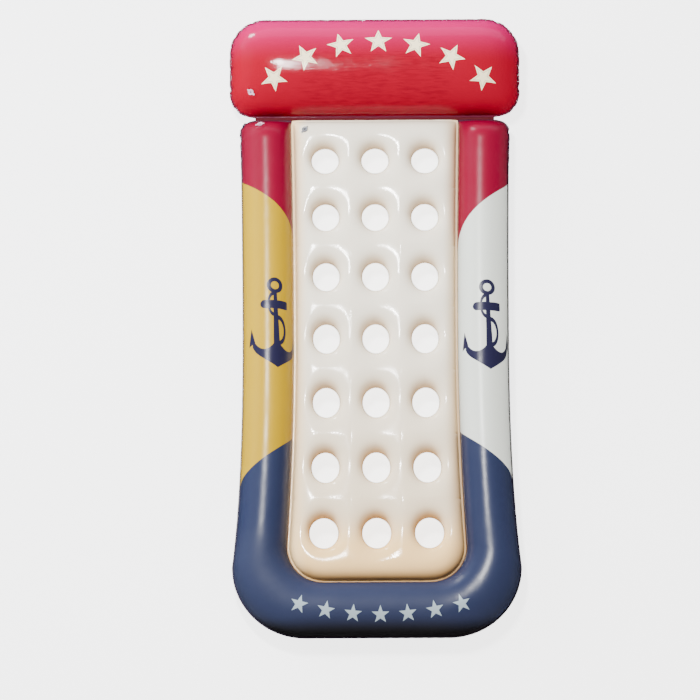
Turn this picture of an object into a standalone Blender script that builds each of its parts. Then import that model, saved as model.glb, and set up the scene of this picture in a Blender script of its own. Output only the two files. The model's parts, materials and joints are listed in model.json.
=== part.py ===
"""Inflatable pool lounger: a headrest pillow, a U-shaped side tube and a mattress with
rows of welded holes. Units are metres, +Z is up and +Y points to the head."""

import math

import bmesh
import bpy
from mathutils import Matrix, Vector, geometry

# Film, welds and gaps
SKIN = 0.0003
LAYER_GAP = 0.0003
SEAM_CLEARANCE = 0.0008
SIDE_FLANGE = 0.006
EDGE_FLANGE = 0.004
END_FLANGE = 0.005
HINGE_STRIP = 0.006
REST_CUT = 0.0005

# Mattress
COLUMNS = 3
ROWS = 7
COLUMN_PITCH = 0.122
ROW_PITCH = 0.1676
ROW_DRAW = 0.020
HOLE_WIDTH = 0.0655
HOLE_LENGTH = 0.0795
SIDE_MARGIN = 0.075
HEAD_MARGIN = 0.1026
FOOT_MARGIN = 0.1199
PANEL_CORNER = 0.090
HEAD_FLARE = 0.006
FOOT_FLARE = 0.018
MATTRESS_HALF = 0.052

# Side tube
TUBE_WIDTH = 0.122
TUBE_HALF = 0.060
FOOT_SWELL = 0.008
FOOT_TUBE_WIDTH = 0.136
TUBE_CORNER = 0.180
END_ROUND = 0.055
END_CORNER = 0.030

# Headrest
HEADREST_WIDTH = 0.720
HEADREST_DEPTH = 0.2530
HEADREST_HALF = 0.075
FAR_CORNER = 0.085
NEAR_CORNER = 0.058

# Valves: places are measured from the seams beside them
HEADREST_VALVE_IN = 0.048
HEADREST_VALVE_UP = 0.052
FRAME_VALVE_IN = 0.0465
FRAME_VALVE_DOWN = 0.0200
MATTRESS_VALVE_IN = 0.029
MATTRESS_VALVE_DOWN = 0.027
PORT_RADIUS = 0.0070
PAD_RADIUS = 0.0135
VALVE_FLANGE_RADIUS = 0.0120
VALVE_FLANGE_BORE = 0.0066
VALVE_FLANGE_THICKNESS = 0.0008
NECK_RADIUS = 0.0050
NECK_BORE = 0.0036
NECK_LENGTH = 0.0150
COLLAR_RADIUS = 0.0060
COLLAR_THICKNESS = 0.0008
PLUG_CLEARANCE = 0.0003
PLUG_SHANK = 0.0070
PLUG_CAP_RADIUS = 0.0075
PLUG_CAP_THICKNESS = 0.0016
PLUG_BEVEL = 0.0004
TAB_LENGTH = 0.0045
TAB_WIDTH = 0.0050
TAB_THICKNESS = 0.0010
WEB_THICKNESS = 0.0003
WEB_GAP = 0.0003
FLAP_THICKNESS = 0.0004
TETHER_WIDTH = 0.0030
TETHER_THICKNESS = 0.0005
TETHER_REACH = 0.0030
MERGE = 0.00001

# Counts
LEG_STATIONS = 6
END_STATIONS = 4
CORNER_STATIONS = 4
FOOT_STATIONS = 4
TUBE_STEPS = 3
CELL_END_STEPS = 2
CELL_SIDE_STEPS = 3
CELL_STEPS = 2 * (CELL_END_STEPS + CELL_SIDE_STEPS)
ROUND_STEPS = 12
PORT_STEPS = 8
VALVE_STEPS = 12

# Shares of the sizes that they follow
HEADREST_COLUMN_SHARES = (0.0, 0.36, 0.64, 0.82, 0.93, 1.0)
HEADREST_ROW_SHARES = (0.34, 0.67, 1.0)
HEADREST_SQUARENESS = 8
MATTRESS_SIDE_SQUARENESS = 6
MATTRESS_END_SQUARENESS = 20
DIMPLE_POWER = 1.8
RING_SHARE = 1.42
WEB_DEPTH_SHARE = 0.8

# Heights of the film's outer face over the middle plane where it is welded flat
WELD_LIFT = LAYER_GAP / 2 + SKIN
SANDWICH_LIFT = WELD_LIFT + LAYER_GAP + SKIN
MIDDLE_Z = WELD_LIFT + TUBE_HALF - REST_CUT

# Places along the lounger, measured from the hinge line, which is at zero
FLANGE_Y = -HINGE_STRIP / 2
SEAM_Y = FLANGE_Y - END_FLANGE
ROW_Y = [SEAM_Y - HEAD_MARGIN]
for gap_index in range(ROWS - 1):
    draw_share = 1.0 - gap_index / max(1, ROWS - 2)
    ROW_Y.append(ROW_Y[-1] - ROW_PITCH + ROW_DRAW * draw_share ** 2)
MATTRESS_FOOT_Y = ROW_Y[-1] - FOOT_MARGIN
PANEL_FOOT_Y = MATTRESS_FOOT_Y - SIDE_FLANGE
INNER_FOOT_Y = PANEL_FOOT_Y - SEAM_CLEARANCE
OUTER_FOOT_Y = INNER_FOOT_Y - FOOT_TUBE_WIDTH
FOOT_EDGE_Y = OUTER_FOOT_Y - EDGE_FLANGE
INNER_ARC_Y = PANEL_FOOT_Y + PANEL_CORNER
OUTER_ARC_Y = FOOT_EDGE_Y + TUBE_CORNER
WAIST_Y = ROW_Y[ROWS // 2]
PANEL_WAIST = COLUMN_PITCH * (COLUMNS - 1) / 2 + SIDE_MARGIN + SIDE_FLANGE

# The pillow between its near seam and its far seam
PILLOW_HALF_DEPTH = (HEADREST_DEPTH - HINGE_STRIP / 2 - END_FLANGE - EDGE_FLANGE) / 2
PILLOW_MIDDLE = HINGE_STRIP / 2 + END_FLANGE + PILLOW_HALF_DEPTH
PILLOW_HALF_WIDTH = HEADREST_WIDTH / 2 - EDGE_FLANGE


def pillow_lowest(tilt):
    """Height of the pillow's lowest point over the floor when it is tilted up."""
    lean = math.hypot(PILLOW_HALF_DEPTH * math.sin(tilt), HEADREST_HALF * math.cos(tilt))
    return MIDDLE_Z + PILLOW_MIDDLE * math.sin(tilt) - WELD_LIFT * math.cos(tilt) - lean


def find_tilt():
    """The tilt at which the pillow, cut flat by REST_CUT, stands on the floor."""
    low, high = -math.pi / 4, math.pi / 4
    for _ in range(60):
        middle = (low + high) / 2
        if pillow_lowest(middle) < -REST_CUT:
            low = middle
        else:
            high = middle
    return (low + high) / 2


TILT = find_tilt()
HEAD_EDGE_Y = HEADREST_DEPTH * math.cos(TILT)
HINGE_Y = (-FOOT_EDGE_Y - HEAD_EDGE_Y) / 2


def lerp(start, end, share):
    return start + (end - start) * share


def flare(y):
    """How far the panel's sides stand out from its waist at a place along it."""
    if y > WAIST_Y:
        return HEAD_FLARE * min(1.0, (y - WAIST_Y) / (SEAM_Y - WAIST_Y)) ** 2
    return FOOT_FLARE * min(1.0, (WAIST_Y - y) / (WAIST_Y - INNER_ARC_Y)) ** 2


def swell(y):
    """How much wider the side tube gets towards the foot."""
    return FOOT_SWELL * min(1.0, max(0.0, (WAIST_Y - y) / (WAIST_Y - INNER_ARC_Y))) ** 4


def arc_inset(radius, distance):
    """How far a round corner draws in at a distance from the edge that it ends at."""
    if distance >= radius:
        return 0.0
    return radius - math.sqrt(max(0.0, radius ** 2 - (radius - max(0.0, distance)) ** 2))


def panel_half(y):
    return PANEL_WAIST + flare(y)


def seam_half(y):
    """Half width of the mattress chamber, with its round corners at the foot."""
    return panel_half(y) - SIDE_FLANGE - arc_inset(PANEL_CORNER - SIDE_FLANGE, y - MATTRESS_FOOT_Y)


def column_x(column, y):
    """Where a column of holes is at a place along the panel, as its sides flare."""
    offset = column - (COLUMNS - 1) / 2
    return offset * (COLUMN_PITCH + flare(y) / 2)


def row_draw(row):
    """The share of its full size that a hole keeps along the panel near the head."""
    share = 1.0 - (row - 1 / 2) / max(1, ROWS - 2)
    return 1.0 - ROW_DRAW / ROW_PITCH * max(0.0, share) ** 2


def hole_half_sizes(row):
    return HOLE_WIDTH / 2 * (1 + flare(ROW_Y[row]) / PANEL_WAIST), HOLE_LENGTH / 2 * row_draw(row)


HOLES = [(column_x(column, ROW_Y[row]), ROW_Y[row], hole_half_sizes(row))
         for row in range(ROWS) for column in range(COLUMNS)]


def tube_height(across, from_end):
    """Height of the side tube's film over its seams, from its width and its closed end."""
    end = 1.0 - min(1.0, from_end / END_ROUND)
    return TUBE_HALF * math.sqrt(max(0.0, 1 - across ** 2)) * math.sqrt(max(0.0, 1 - end ** 2))


def pillow_height(across, along):
    ends = max(0.0, 1 - abs(across) ** HEADREST_SQUARENESS)
    return HEADREST_HALF * math.sqrt(ends * max(0.0, 1 - along ** 2))


def mattress_height(x, y):
    """Height of the mattress film over its welds: a low pillow drawn in at every hole."""
    across = abs(x) / max(MERGE, seam_half(y))
    half_length = (SEAM_Y - MATTRESS_FOOT_Y) / 2
    along = abs(y - (SEAM_Y + MATTRESS_FOOT_Y) / 2) / half_length
    share = max(0.0, 1 - across ** MATTRESS_SIDE_SQUARENESS)
    share *= max(0.0, 1 - along ** MATTRESS_END_SQUARENESS)
    for hole_x, hole_y, (half_x, half_y) in HOLES:
        reach = math.hypot((x - hole_x) / half_x, (y - hole_y) / half_y)
        share *= max(0.0, 1 - max(1.0, reach) ** -DIMPLE_POWER)
    return MATTRESS_HALF * math.sqrt(share)


def make_material(name, color, roughness, alpha=1.0):
    material = bpy.data.materials.new(name)
    material.use_nodes = True
    shader = material.node_tree.nodes["Principled BSDF"]
    shader.inputs["Base Color"].default_value = (*color, 1.0)
    shader.inputs["Roughness"].default_value = roughness
    shader.inputs["Metallic"].default_value = 0.0
    shader.inputs["Alpha"].default_value = alpha
    material.diffuse_color = (*color, alpha)
    return material


def make_object(name, bm, material, collection, parent):
    """Turns a bmesh into a smooth shaded object under its parent empty."""
    mesh = bpy.data.meshes.new(name)
    bm.to_mesh(mesh)
    bm.free()
    mesh.shade_smooth()
    mesh.set_sharp_from_angle(angle=math.radians(40))
    mesh.materials.append(material)
    obj = bpy.data.objects.new(name, mesh)
    collection.objects.link(obj)
    obj.parent = parent
    return obj


def make_empty(name, collection, matrix, parent=None):
    empty = bpy.data.objects.new(name, None)
    collection.objects.link(empty)
    empty.parent = parent
    empty.matrix_local = matrix
    return empty


def join_rows(bm, rows, closed=False):
    """Faces between neighbouring rows of vertices, skipping sides that have shrunk away."""
    for first, second in zip(rows, rows[1:]):
        count = len(first) if closed else len(first) - 1
        for index in range(count):
            after = (index + 1) % len(first)
            corners = []
            for vert in (first[index], first[after], second[after], second[index]):
                if all((vert.co - other.co).length > MERGE for other in corners):
                    corners.append(vert)
            if len(corners) > 2:
                bm.faces.new(corners)


def cut_port(bm, center, normal):
    """Opens a valve port: a flat round pad in the film with a hole in its middle."""
    bmesh.ops.triangulate(bm, faces=bm.faces[:])
    near = []
    for face in bm.faces:
        closest = geometry.closest_point_on_tri(center, *(vert.co for vert in face.verts))
        if (closest - center).length < PAD_RADIUS:
            near.append(face)
    border = {edge for face in near for edge in face.edges
              if any(other not in near for other in edge.link_faces)}
    bmesh.ops.delete(bm, geom=near, context="FACES_ONLY")
    inner = {edge for edge in bm.edges if not edge.link_faces} - border
    bmesh.ops.delete(bm, geom=list(inner), context="EDGES")
    loose = [vert for vert in bm.verts if not vert.link_edges]
    bmesh.ops.delete(bm, geom=loose, context="VERTS")
    turn = normal.to_track_quat("Z", "Y").to_matrix()
    rings = []
    for radius in (PORT_RADIUS, PAD_RADIUS):
        ring = []
        for step in range(PORT_STEPS):
            angle = math.tau * step / PORT_STEPS
            offset = Vector((math.cos(angle), math.sin(angle), 0.0)) * radius
            ring.append(bm.verts.new(center + turn @ offset))
        rings.append(ring)
    join_rows(bm, rings, closed=True)
    pad_edges = {edge for vert in rings[1] for edge in vert.link_edges
                 if edge.other_vert(vert) in rings[1]}
    bmesh.ops.triangle_fill(bm, use_beauty=True, use_dissolve=False, normal=normal,
                            edges=list(border | pad_edges))


def finish_film(name, bm, side, material, collection, parent):
    """Faces the film's outer side outwards and gives it its thickness inwards."""
    bmesh.ops.remove_doubles(bm, verts=bm.verts[:], dist=MERGE)
    bmesh.ops.triangulate(bm, faces=bm.faces[:])
    bmesh.ops.recalc_face_normals(bm, faces=bm.faces[:])
    if sum(face.normal.z * face.calc_area() for face in bm.faces) * side < 0:
        bmesh.ops.reverse_faces(bm, faces=bm.faces[:])
    obj = make_object(name, bm, material, collection, parent)
    solidify = obj.modifiers.new("film thickness", "SOLIDIFY")
    solidify.thickness = SKIN
    solidify.offset = -1.0
    return obj


def across_shares():
    """Places across the tube from seam to seam, with a flat facet at its crest."""
    flat = math.acos(1 - REST_CUT / TUBE_HALF)
    angles = [lerp(flat, math.pi / 2, step / TUBE_STEPS) for step in range(TUBE_STEPS + 1)]
    outward = [math.sin(angle) for angle in angles]
    return [-share for share in reversed(outward)] + outward


def tube_stations():
    """Plan points of the tube from the right leg's end round the foot to the left leg's
    end. Each is the inner edge, inner seam, outer seam and outer edge, and the distance
    from the closed end."""
    inner_radii = (PANEL_CORNER - SIDE_FLANGE, PANEL_CORNER + SEAM_CLEARANCE)
    outer_radii = (TUBE_CORNER - EDGE_FLANGE, TUBE_CORNER)
    ends = [END_ROUND * (1 - math.cos(math.pi / 2 * step / END_STATIONS))
            for step in range(END_STATIONS + 1)]
    leg_length = SEAM_Y - INNER_ARC_Y
    downs = [-END_FLANGE] + ends
    downs += [lerp(END_ROUND, leg_length, (step + 1) / LEG_STATIONS) for step in range(LEG_STATIONS)]
    half = []
    for down in downs:
        inner_y = SEAM_Y - down
        outer_y = SEAM_Y - down
        if down > END_ROUND:
            share = (down - END_ROUND) / (leg_length - END_ROUND)
            outer_y = lerp(SEAM_Y - END_ROUND, OUTER_ARC_Y, share)
        panel = panel_half(inner_y)
        outer = panel_half(inner_y) + SEAM_CLEARANCE + TUBE_WIDTH + swell(inner_y)
        half.append(((panel - SIDE_FLANGE, inner_y), (panel + SEAM_CLEARANCE, inner_y),
                     (outer - arc_inset(END_CORNER, down), outer_y),
                     (outer + EDGE_FLANGE - arc_inset(END_CORNER + EDGE_FLANGE, down + EDGE_FLANGE),
                      outer_y), max(0.0, down)))
    inner_x = panel_half(INNER_ARC_Y) - PANEL_CORNER
    outer_x = half[-1][3][0] - TUBE_CORNER
    for step in range(1, CORNER_STATIONS + 1):
        angle = math.pi / 2 * step / CORNER_STATIONS
        points = [(center_x + radius * math.cos(angle), center_y - radius * math.sin(angle))
                  for center_x, center_y, radius in
                  ((inner_x, INNER_ARC_Y, inner_radii[0]), (inner_x, INNER_ARC_Y, inner_radii[1]),
                   (outer_x, OUTER_ARC_Y, outer_radii[0]), (outer_x, OUTER_ARC_Y, outer_radii[1]))]
        half.append((*points, END_ROUND))
    stations = list(half)
    for step in range(1, FOOT_STATIONS):
        share = step / FOOT_STATIONS
        stations.append(tuple((lerp(x, -x, share), y) for x, y in half[-1][:4]) + (END_ROUND,))
    for station in reversed(half):
        stations.append(tuple((-x, y) for x, y in station[:4]) + (station[4],))
    return stations


def tube_film(side):
    bm = bmesh.new()
    shares = across_shares()
    limit = TUBE_HALF - REST_CUT
    rows = []
    for inner_edge, inner_seam, outer_seam, outer_edge, from_end in tube_stations():
        row = [bm.verts.new((*inner_edge, side * WELD_LIFT))]
        for share in shares:
            place = (share + 1) / 2
            height = min(limit, tube_height(share, from_end)) if abs(share) < 1 else 0.0
            row.append(bm.verts.new((lerp(inner_seam[0], outer_seam[0], place),
                                     lerp(inner_seam[1], outer_seam[1], place),
                                     side * (WELD_LIFT + height))))
        row.append(bm.verts.new((*outer_edge, side * WELD_LIFT)))
        rows.append(row)
    join_rows(bm, rows)
    return bm


def pillow_rows():
    """Places along the pillow's depth, with a flat facet where it stands."""
    sag = HEADREST_HALF * math.cos(TILT)
    lean = PILLOW_HALF_DEPTH * math.sin(TILT)
    stand = -math.atan2(lean, sag)
    spread = math.acos(1 - REST_CUT / math.hypot(sag, lean))
    before = [lerp(stand - spread, -math.pi / 2, share) for share in HEADREST_ROW_SHARES]
    after = [lerp(stand + spread, math.pi / 2, share) for share in HEADREST_ROW_SHARES]
    angles = list(reversed(before)) + [stand - spread, stand + spread] + after
    return [math.sin(angle) for angle in angles]


def pillow_half_width(along):
    """Half width of the pillow at a share of its depth, with its round corners."""
    near = arc_inset(NEAR_CORNER, PILLOW_HALF_DEPTH * (1 + along))
    far = arc_inset(FAR_CORNER, PILLOW_HALF_DEPTH * (1 - along))
    return PILLOW_HALF_WIDTH - near - far


def pillow_film(side):
    bm = bmesh.new()
    columns = [-share for share in reversed(HEADREST_COLUMN_SHARES[1:])] + list(HEADREST_COLUMN_SHARES)
    alongs = pillow_rows()
    rows = []
    for index, along in enumerate([-1.0] + alongs + [1.0]):
        flange_row = index in (0, len(alongs) + 1)
        half = pillow_half_width(along)
        y = PILLOW_MIDDLE + PILLOW_HALF_DEPTH * along
        if index == 0:
            y -= END_FLANGE
        if index == len(alongs) + 1:
            y += EDGE_FLANGE
        row = []
        for column in [None] + columns + [None]:
            if column is None:
                sign = -1 if not row else 1
                x = sign * (half + EDGE_FLANGE)
                if flange_row:
                    x = sign * half
                height = 0.0
            else:
                x = column * half
                height = 0.0 if flange_row else pillow_height(column, along)
            z = side * (WELD_LIFT + height)
            if side < 0:
                floor = -(MIDDLE_Z + y * math.sin(TILT)) / math.cos(TILT)
                z = max(z, floor)
            row.append(bm.verts.new((x, y, z)))
        rows.append(row)
    join_rows(bm, rows)
    return bm


def cell_border(column, row):
    """Plan points round one hole's cell, anticlockwise from its head side right corner."""
    top = SEAM_Y if row == 0 else (ROW_Y[row] + ROW_Y[row - 1]) / 2
    bottom = MATTRESS_FOOT_Y if row == ROWS - 1 else (ROW_Y[row] + ROW_Y[row + 1]) / 2

    def side_x(edge, y):
        if edge == 0:
            return -seam_half(y)
        if edge == COLUMNS:
            return seam_half(y)
        inset = seam_half(y) / (panel_half(y) - SIDE_FLANGE)
        return (column_x(edge - 1, y) + column_x(edge, y)) / 2 * inset

    def side_ys():
        ys = [lerp(top, bottom, step / CELL_SIDE_STEPS) for step in range(CELL_SIDE_STEPS + 1)]
        if row == ROWS - 1:
            arc = PANEL_CORNER - SIDE_FLANGE
            ys[1] = bottom + arc
            ys[2] = bottom + arc * (1 - math.sin(math.pi / 4))
        return ys

    ys = side_ys()
    left = [(side_x(column, y), y) for y in ys]
    right = [(side_x(column + 1, y), y) for y in ys]
    border = []
    for step in range(CELL_END_STEPS):
        share = step / CELL_END_STEPS
        border.append((lerp(right[0][0], left[0][0], share), top))
    border += left[:-1]
    for step in range(CELL_END_STEPS):
        share = step / CELL_END_STEPS
        border.append((lerp(left[-1][0], right[-1][0], share), bottom))
    border += list(reversed(right))[:-1]
    return border


def mattress_lift(x, y):
    """Flat welds lie apart by the tube's flange at the sides, and close at the head."""
    at_side = abs(x) > seam_half(y) - MERGE or y < MATTRESS_FOOT_Y + MERGE
    return SANDWICH_LIFT if at_side else WELD_LIFT


def mattress_film(side):
    bm = bmesh.new()
    for row in range(ROWS):
        for column in range(COLUMNS):
            center_x, center_y, (half_x, half_y) = HOLES[row * COLUMNS + column]
            hole, ring, border = [], [], []
            for index, (x, y) in enumerate(cell_border(column, row)):
                angle = math.tau * (index + CELL_SIDE_STEPS / 2) / CELL_STEPS
                out_x = half_x * math.cos(angle)
                out_y = half_y * math.sin(angle)
                hole.append(bm.verts.new((center_x + out_x, center_y + out_y, side * WELD_LIFT)))
                ring_x = center_x + out_x * RING_SHARE
                ring_y = center_y + out_y * RING_SHARE
                height = WELD_LIFT + mattress_height(ring_x, ring_y)
                ring.append(bm.verts.new((ring_x, ring_y, side * height)))
                height = mattress_lift(x, y) + mattress_height(x, y)
                border.append(bm.verts.new((x, y, side * height)))
            join_rows(bm, [hole, ring, border], closed=True)
    bmesh.ops.remove_doubles(bm, verts=bm.verts[:], dist=MERGE)
    add_mattress_flange(bm, side)
    return bm


def add_mattress_flange(bm, side):
    """Extrudes the chamber's outer border into the flat welded margin."""
    border = [edge for edge in bm.edges if edge.is_boundary
              and all(is_outer(vert.co) for vert in edge.verts)]
    made = bmesh.ops.extrude_edge_only(bm, edges=border)["geom"]
    arc_radius = PANEL_CORNER - SIDE_FLANGE
    for vert in [item for item in made if isinstance(item, bmesh.types.BMVert)]:
        x, y = vert.co.x, vert.co.y
        sign = 1 if x > 0 else -1
        arc_y = MATTRESS_FOOT_Y + arc_radius
        if y > SEAM_Y - MERGE:
            vert.co.y += END_FLANGE
            if abs(x) > seam_half(y) - MERGE:
                vert.co.x += sign * SIDE_FLANGE
        elif y < arc_y:
            arc_x = seam_half(arc_y) - arc_radius
            out_x = max(0.0, abs(x) - arc_x) / arc_radius
            out_y = min(1.0, (arc_y - y) / arc_radius)
            vert.co.x += sign * SIDE_FLANGE * out_x
            vert.co.y -= SIDE_FLANGE * out_y
        else:
            vert.co.x += sign * SIDE_FLANGE


def is_outer(point):
    x, y = abs(point.x), point.y
    at_side = x > seam_half(y) - MERGE
    return at_side or y > SEAM_Y - MERGE or y < MATTRESS_FOOT_Y + MERGE


def surface_frame(height_at, x, y):
    """Point and outward normal of an upper film at a plan place."""
    step = SKIN
    slope_x = (height_at(x + step, y) - height_at(x - step, y)) / (2 * step)
    slope_y = (height_at(x, y + step) - height_at(x, y - step)) / (2 * step)
    normal = Vector((-slope_x, -slope_y, 1.0)).normalized()
    return Vector((x, y, WELD_LIFT + height_at(x, y))), normal


def tube_end_height(x, y):
    """Height of the left leg near its closed end, in plan coordinates."""
    inner = panel_half(y) + SEAM_CLEARANCE
    outer = inner + TUBE_WIDTH - arc_inset(END_CORNER, SEAM_Y - y)
    return tube_height((-x - (inner + outer) / 2) / ((outer - inner) / 2), SEAM_Y - y)


def pillow_plan_height(x, y):
    along = (y - PILLOW_MIDDLE) / PILLOW_HALF_DEPTH
    return pillow_height(x / pillow_half_width(along), along)


def valve_places():
    """Each valve's chamber, plan place and the height function of its film."""
    pillow_x = -(PILLOW_HALF_WIDTH - HEADREST_VALVE_IN)
    pillow_y = PILLOW_MIDDLE - PILLOW_HALF_DEPTH + HEADREST_VALVE_UP
    tube_x = -(panel_half(SEAM_Y) + SEAM_CLEARANCE + TUBE_WIDTH - FRAME_VALVE_IN)
    mat_x = -(seam_half(SEAM_Y) - MATTRESS_VALVE_IN)
    return {
        "headrest": surface_frame(pillow_plan_height, pillow_x, pillow_y),
        "frame": surface_frame(tube_end_height, tube_x, SEAM_Y - FRAME_VALVE_DOWN),
        "mattress": surface_frame(mattress_height, mat_x, SEAM_Y - MATTRESS_VALVE_DOWN),
    }


def turned_object(name, profile, material, collection, parent):
    """A closed profile of radius and height turned about Z with a Screw modifier."""
    mesh = bpy.data.meshes.new(name)
    points = [(radius, 0.0, height) for radius, height in profile]
    edges = [(index, (index + 1) % len(points)) for index in range(len(points))]
    mesh.from_pydata(points, edges, [])
    mesh.materials.append(material)
    obj = bpy.data.objects.new(name, mesh)
    collection.objects.link(obj)
    obj.parent = parent
    screw = obj.modifiers.new("turn", "SCREW")
    screw.steps = VALVE_STEPS
    screw.render_steps = VALVE_STEPS
    screw.merge_threshold = MERGE
    screw.use_merge_vertices = True
    screw.use_smooth_shade = True
    return obj


def build_plug(name, material, collection, parent):
    """Stopper: a turned shank and cap with a finger tab on one side of the cap."""
    shank = NECK_BORE - PLUG_CLEARANCE
    base = COLLAR_THICKNESS + PLUG_CLEARANCE
    top = base + PLUG_CAP_THICKNESS
    bm = bmesh.new()
    profile = [(shank - PLUG_BEVEL, base - PLUG_SHANK), (shank, base - PLUG_SHANK + PLUG_BEVEL),
               (shank, base), (PLUG_CAP_RADIUS, base), (PLUG_CAP_RADIUS, top - PLUG_BEVEL),
               (PLUG_CAP_RADIUS - PLUG_BEVEL, top)]
    rings = []
    for radius, height in profile:
        ring = []
        for step in range(ROUND_STEPS):
            angle = math.tau * step / ROUND_STEPS
            ring.append(bm.verts.new((radius * math.cos(angle), radius * math.sin(angle), height)))
        rings.append(ring)
    join_rows(bm, rings, closed=True)
    bm.faces.new(list(reversed(rings[0])))
    bm.faces.new(rings[-1])
    bmesh.ops.recalc_face_normals(bm, faces=bm.faces[:])
    body = make_object(name, bm, material, collection, parent)
    tab = bmesh.new()
    bmesh.ops.create_cube(tab, size=1.0)
    length = TAB_LENGTH * 2
    scale = Matrix.Diagonal((length, TAB_WIDTH, TAB_THICKNESS, 1.0))
    place = Matrix.Translation((PLUG_CAP_RADIUS, 0.0, base + PLUG_CAP_THICKNESS / 2))
    bmesh.ops.transform(tab, matrix=place @ scale, verts=tab.verts[:])
    cutter = make_object(name + "_tab_tool", tab, material, bpy.data.collections["Tools"], parent)
    cutter.hide_render = True
    cutter.display_type = "WIRE"
    join = body.modifiers.new("finger tab", "BOOLEAN")
    join.operation = "UNION"
    join.object = cutter
    join.solver = "EXACT"
    return body


def strip(name, path, width, thickness, material, collection, parent):
    """A thin band: a path in the XZ plane swept along Y, thickened to both sides."""
    bm = bmesh.new()
    rows = []
    for side in (-1, 1):
        rows.append([bm.verts.new((x, side * width / 2, z)) for x, z in path])
    join_rows(bm, rows)
    obj = make_object(name, bm, material, collection, parent)
    solidify = obj.modifiers.new("thickness", "SOLIDIFY")
    solidify.thickness = thickness
    solidify.offset = 0.0
    solidify.use_even_offset = True
    return obj


def build_valve(chamber, place, normal, material, collection, parent):
    """One inflation valve, pushed in flush with the film, in its own frame: +Z outward."""
    name = chamber + "_valve"
    turn = normal.to_track_quat("Z", "Y").to_matrix().to_4x4()
    seat = make_empty(name + "_seat", collection, Matrix.Translation(place) @ turn, parent)
    flange_top = -SKIN - LAYER_GAP
    flange_base = flange_top - VALVE_FLANGE_THICKNESS
    neck_base = -NECK_LENGTH
    turned_object(name + "_flange", [
        (VALVE_FLANGE_RADIUS, flange_top), (VALVE_FLANGE_RADIUS, flange_base),
        (VALVE_FLANGE_BORE, flange_base), (VALVE_FLANGE_BORE, flange_top)],
        material, collection, seat)
    turned_object(name + "_neck", [
        (COLLAR_RADIUS, COLLAR_THICKNESS), (COLLAR_RADIUS, 0.0), (NECK_RADIUS, 0.0),
        (NECK_RADIUS, neck_base), (NECK_BORE, neck_base), (NECK_BORE, COLLAR_THICKNESS)],
        material, collection, seat)
    web_top = VALVE_FLANGE_BORE - WEB_GAP
    web_low = NECK_RADIUS + WEB_GAP + WEB_THICKNESS
    web_depth = neck_base * WEB_DEPTH_SHARE
    turned_object(name + "_web", [
        (web_top, flange_top), (web_low, web_depth), (web_low - WEB_THICKNESS, web_depth),
        (web_top - WEB_THICKNESS, flange_top)],
        material, collection, seat)
    build_plug(name + "_plug", material, collection, seat)
    hinge = make_empty(name + "_flap_hinge", collection,
                       Matrix.Translation((-NECK_RADIUS, 0.0, neck_base - PLUG_CLEARANCE)), seat)
    flap = bmesh.new()
    bmesh.ops.create_cone(flap, cap_ends=True, segments=VALVE_STEPS, radius1=NECK_RADIUS,
                          radius2=NECK_RADIUS, depth=FLAP_THICKNESS)
    offset = Matrix.Translation((NECK_RADIUS, 0.0, -FLAP_THICKNESS / 2))
    bmesh.ops.transform(flap, matrix=offset, verts=flap.verts[:])
    make_object(name + "_flap", flap, material, collection, hinge)
    cap_base = COLLAR_THICKNESS + PLUG_CLEARANCE
    collar_side = -(COLLAR_RADIUS + WEB_GAP)
    cap_side = -(PLUG_CAP_RADIUS + WEB_GAP)
    reach = cap_side - TETHER_REACH
    low = TETHER_THICKNESS
    high = cap_base + PLUG_CAP_THICKNESS / 2
    strip(name + "_tether", [
        (collar_side, low), (reach + TETHER_THICKNESS, low), (reach, (low + high) / 2),
        (reach + TETHER_THICKNESS, high), (cap_side, high)],
        TETHER_WIDTH, TETHER_THICKNESS, material, collection, seat)


def build_seam(material, collection, parent):
    """The strip of welded film that bends at the headrest's hinge line."""
    half = HINGE_STRIP / 2 - LAYER_GAP
    reach = PILLOW_HALF_WIDTH - NEAR_CORNER
    bm = bmesh.new()
    rows = []
    for y, z in ((-half, 0.0), (0.0, 0.0), (half * math.cos(TILT), half * math.sin(TILT))):
        rows.append([bm.verts.new((x, y, z)) for x in (-reach, 0.0, reach)])
    join_rows(bm, rows)
    obj = make_object("headrest_seam", bm, material, collection, parent)
    solidify = obj.modifiers.new("two films welded", "SOLIDIFY")
    solidify.thickness = WELD_LIFT * 2
    solidify.offset = 0.0
    solidify.use_even_offset = True
    return obj


def main():
    for obj in list(bpy.data.objects):
        bpy.data.objects.remove(obj)
    lounger = bpy.data.collections.new("Pool lounger")
    tools = bpy.data.collections.new("Tools")
    bpy.context.scene.collection.children.link(lounger)
    bpy.context.scene.collection.children.link(tools)

    red = make_material("red_film", (0.70, 0.008, 0.026), 0.30)
    navy = make_material("navy_film", (0.055, 0.082, 0.168), 0.30)
    cream = make_material("cream_film", (0.76, 0.74, 0.68), 0.32)
    clear = make_material("clear_vinyl", (0.80, 0.84, 0.90), 0.20, alpha=0.6)

    base = make_empty("float_centre", lounger, Matrix.Translation((0.0, HINGE_Y, MIDDLE_Z)))
    hinge = make_empty("headrest_hinge", lounger, Matrix.Rotation(TILT, 4, "X"), base)

    chambers = {
        "headrest": (pillow_film, red, hinge),
        "frame": (tube_film, navy, base),
        "mattress": (mattress_film, cream, base),
    }
    places = valve_places()
    for chamber, (film, material, parent) in chambers.items():
        place, normal = places[chamber]
        for side, word in ((1, "top"), (-1, "bottom")):
            bm = film(side)
            if side > 0:
                cut_port(bm, place, normal)
            finish_film(f"{chamber}_{word}_skin", bm, side, material, lounger, parent)
        build_valve(chamber, place, normal, clear, lounger, parent)
    build_seam(red, lounger, base)


main()
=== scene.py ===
"""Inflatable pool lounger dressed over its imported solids: puckered welded films, printed
colour blocks and clear push-in valves, on a pale studio floor. Units are metres."""

import json
import logging
import math
from abc import ABC, abstractmethod
from collections.abc import Iterable, Sequence
from dataclasses import dataclass
from enum import Enum
from typing import ClassVar, TypeAlias

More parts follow.
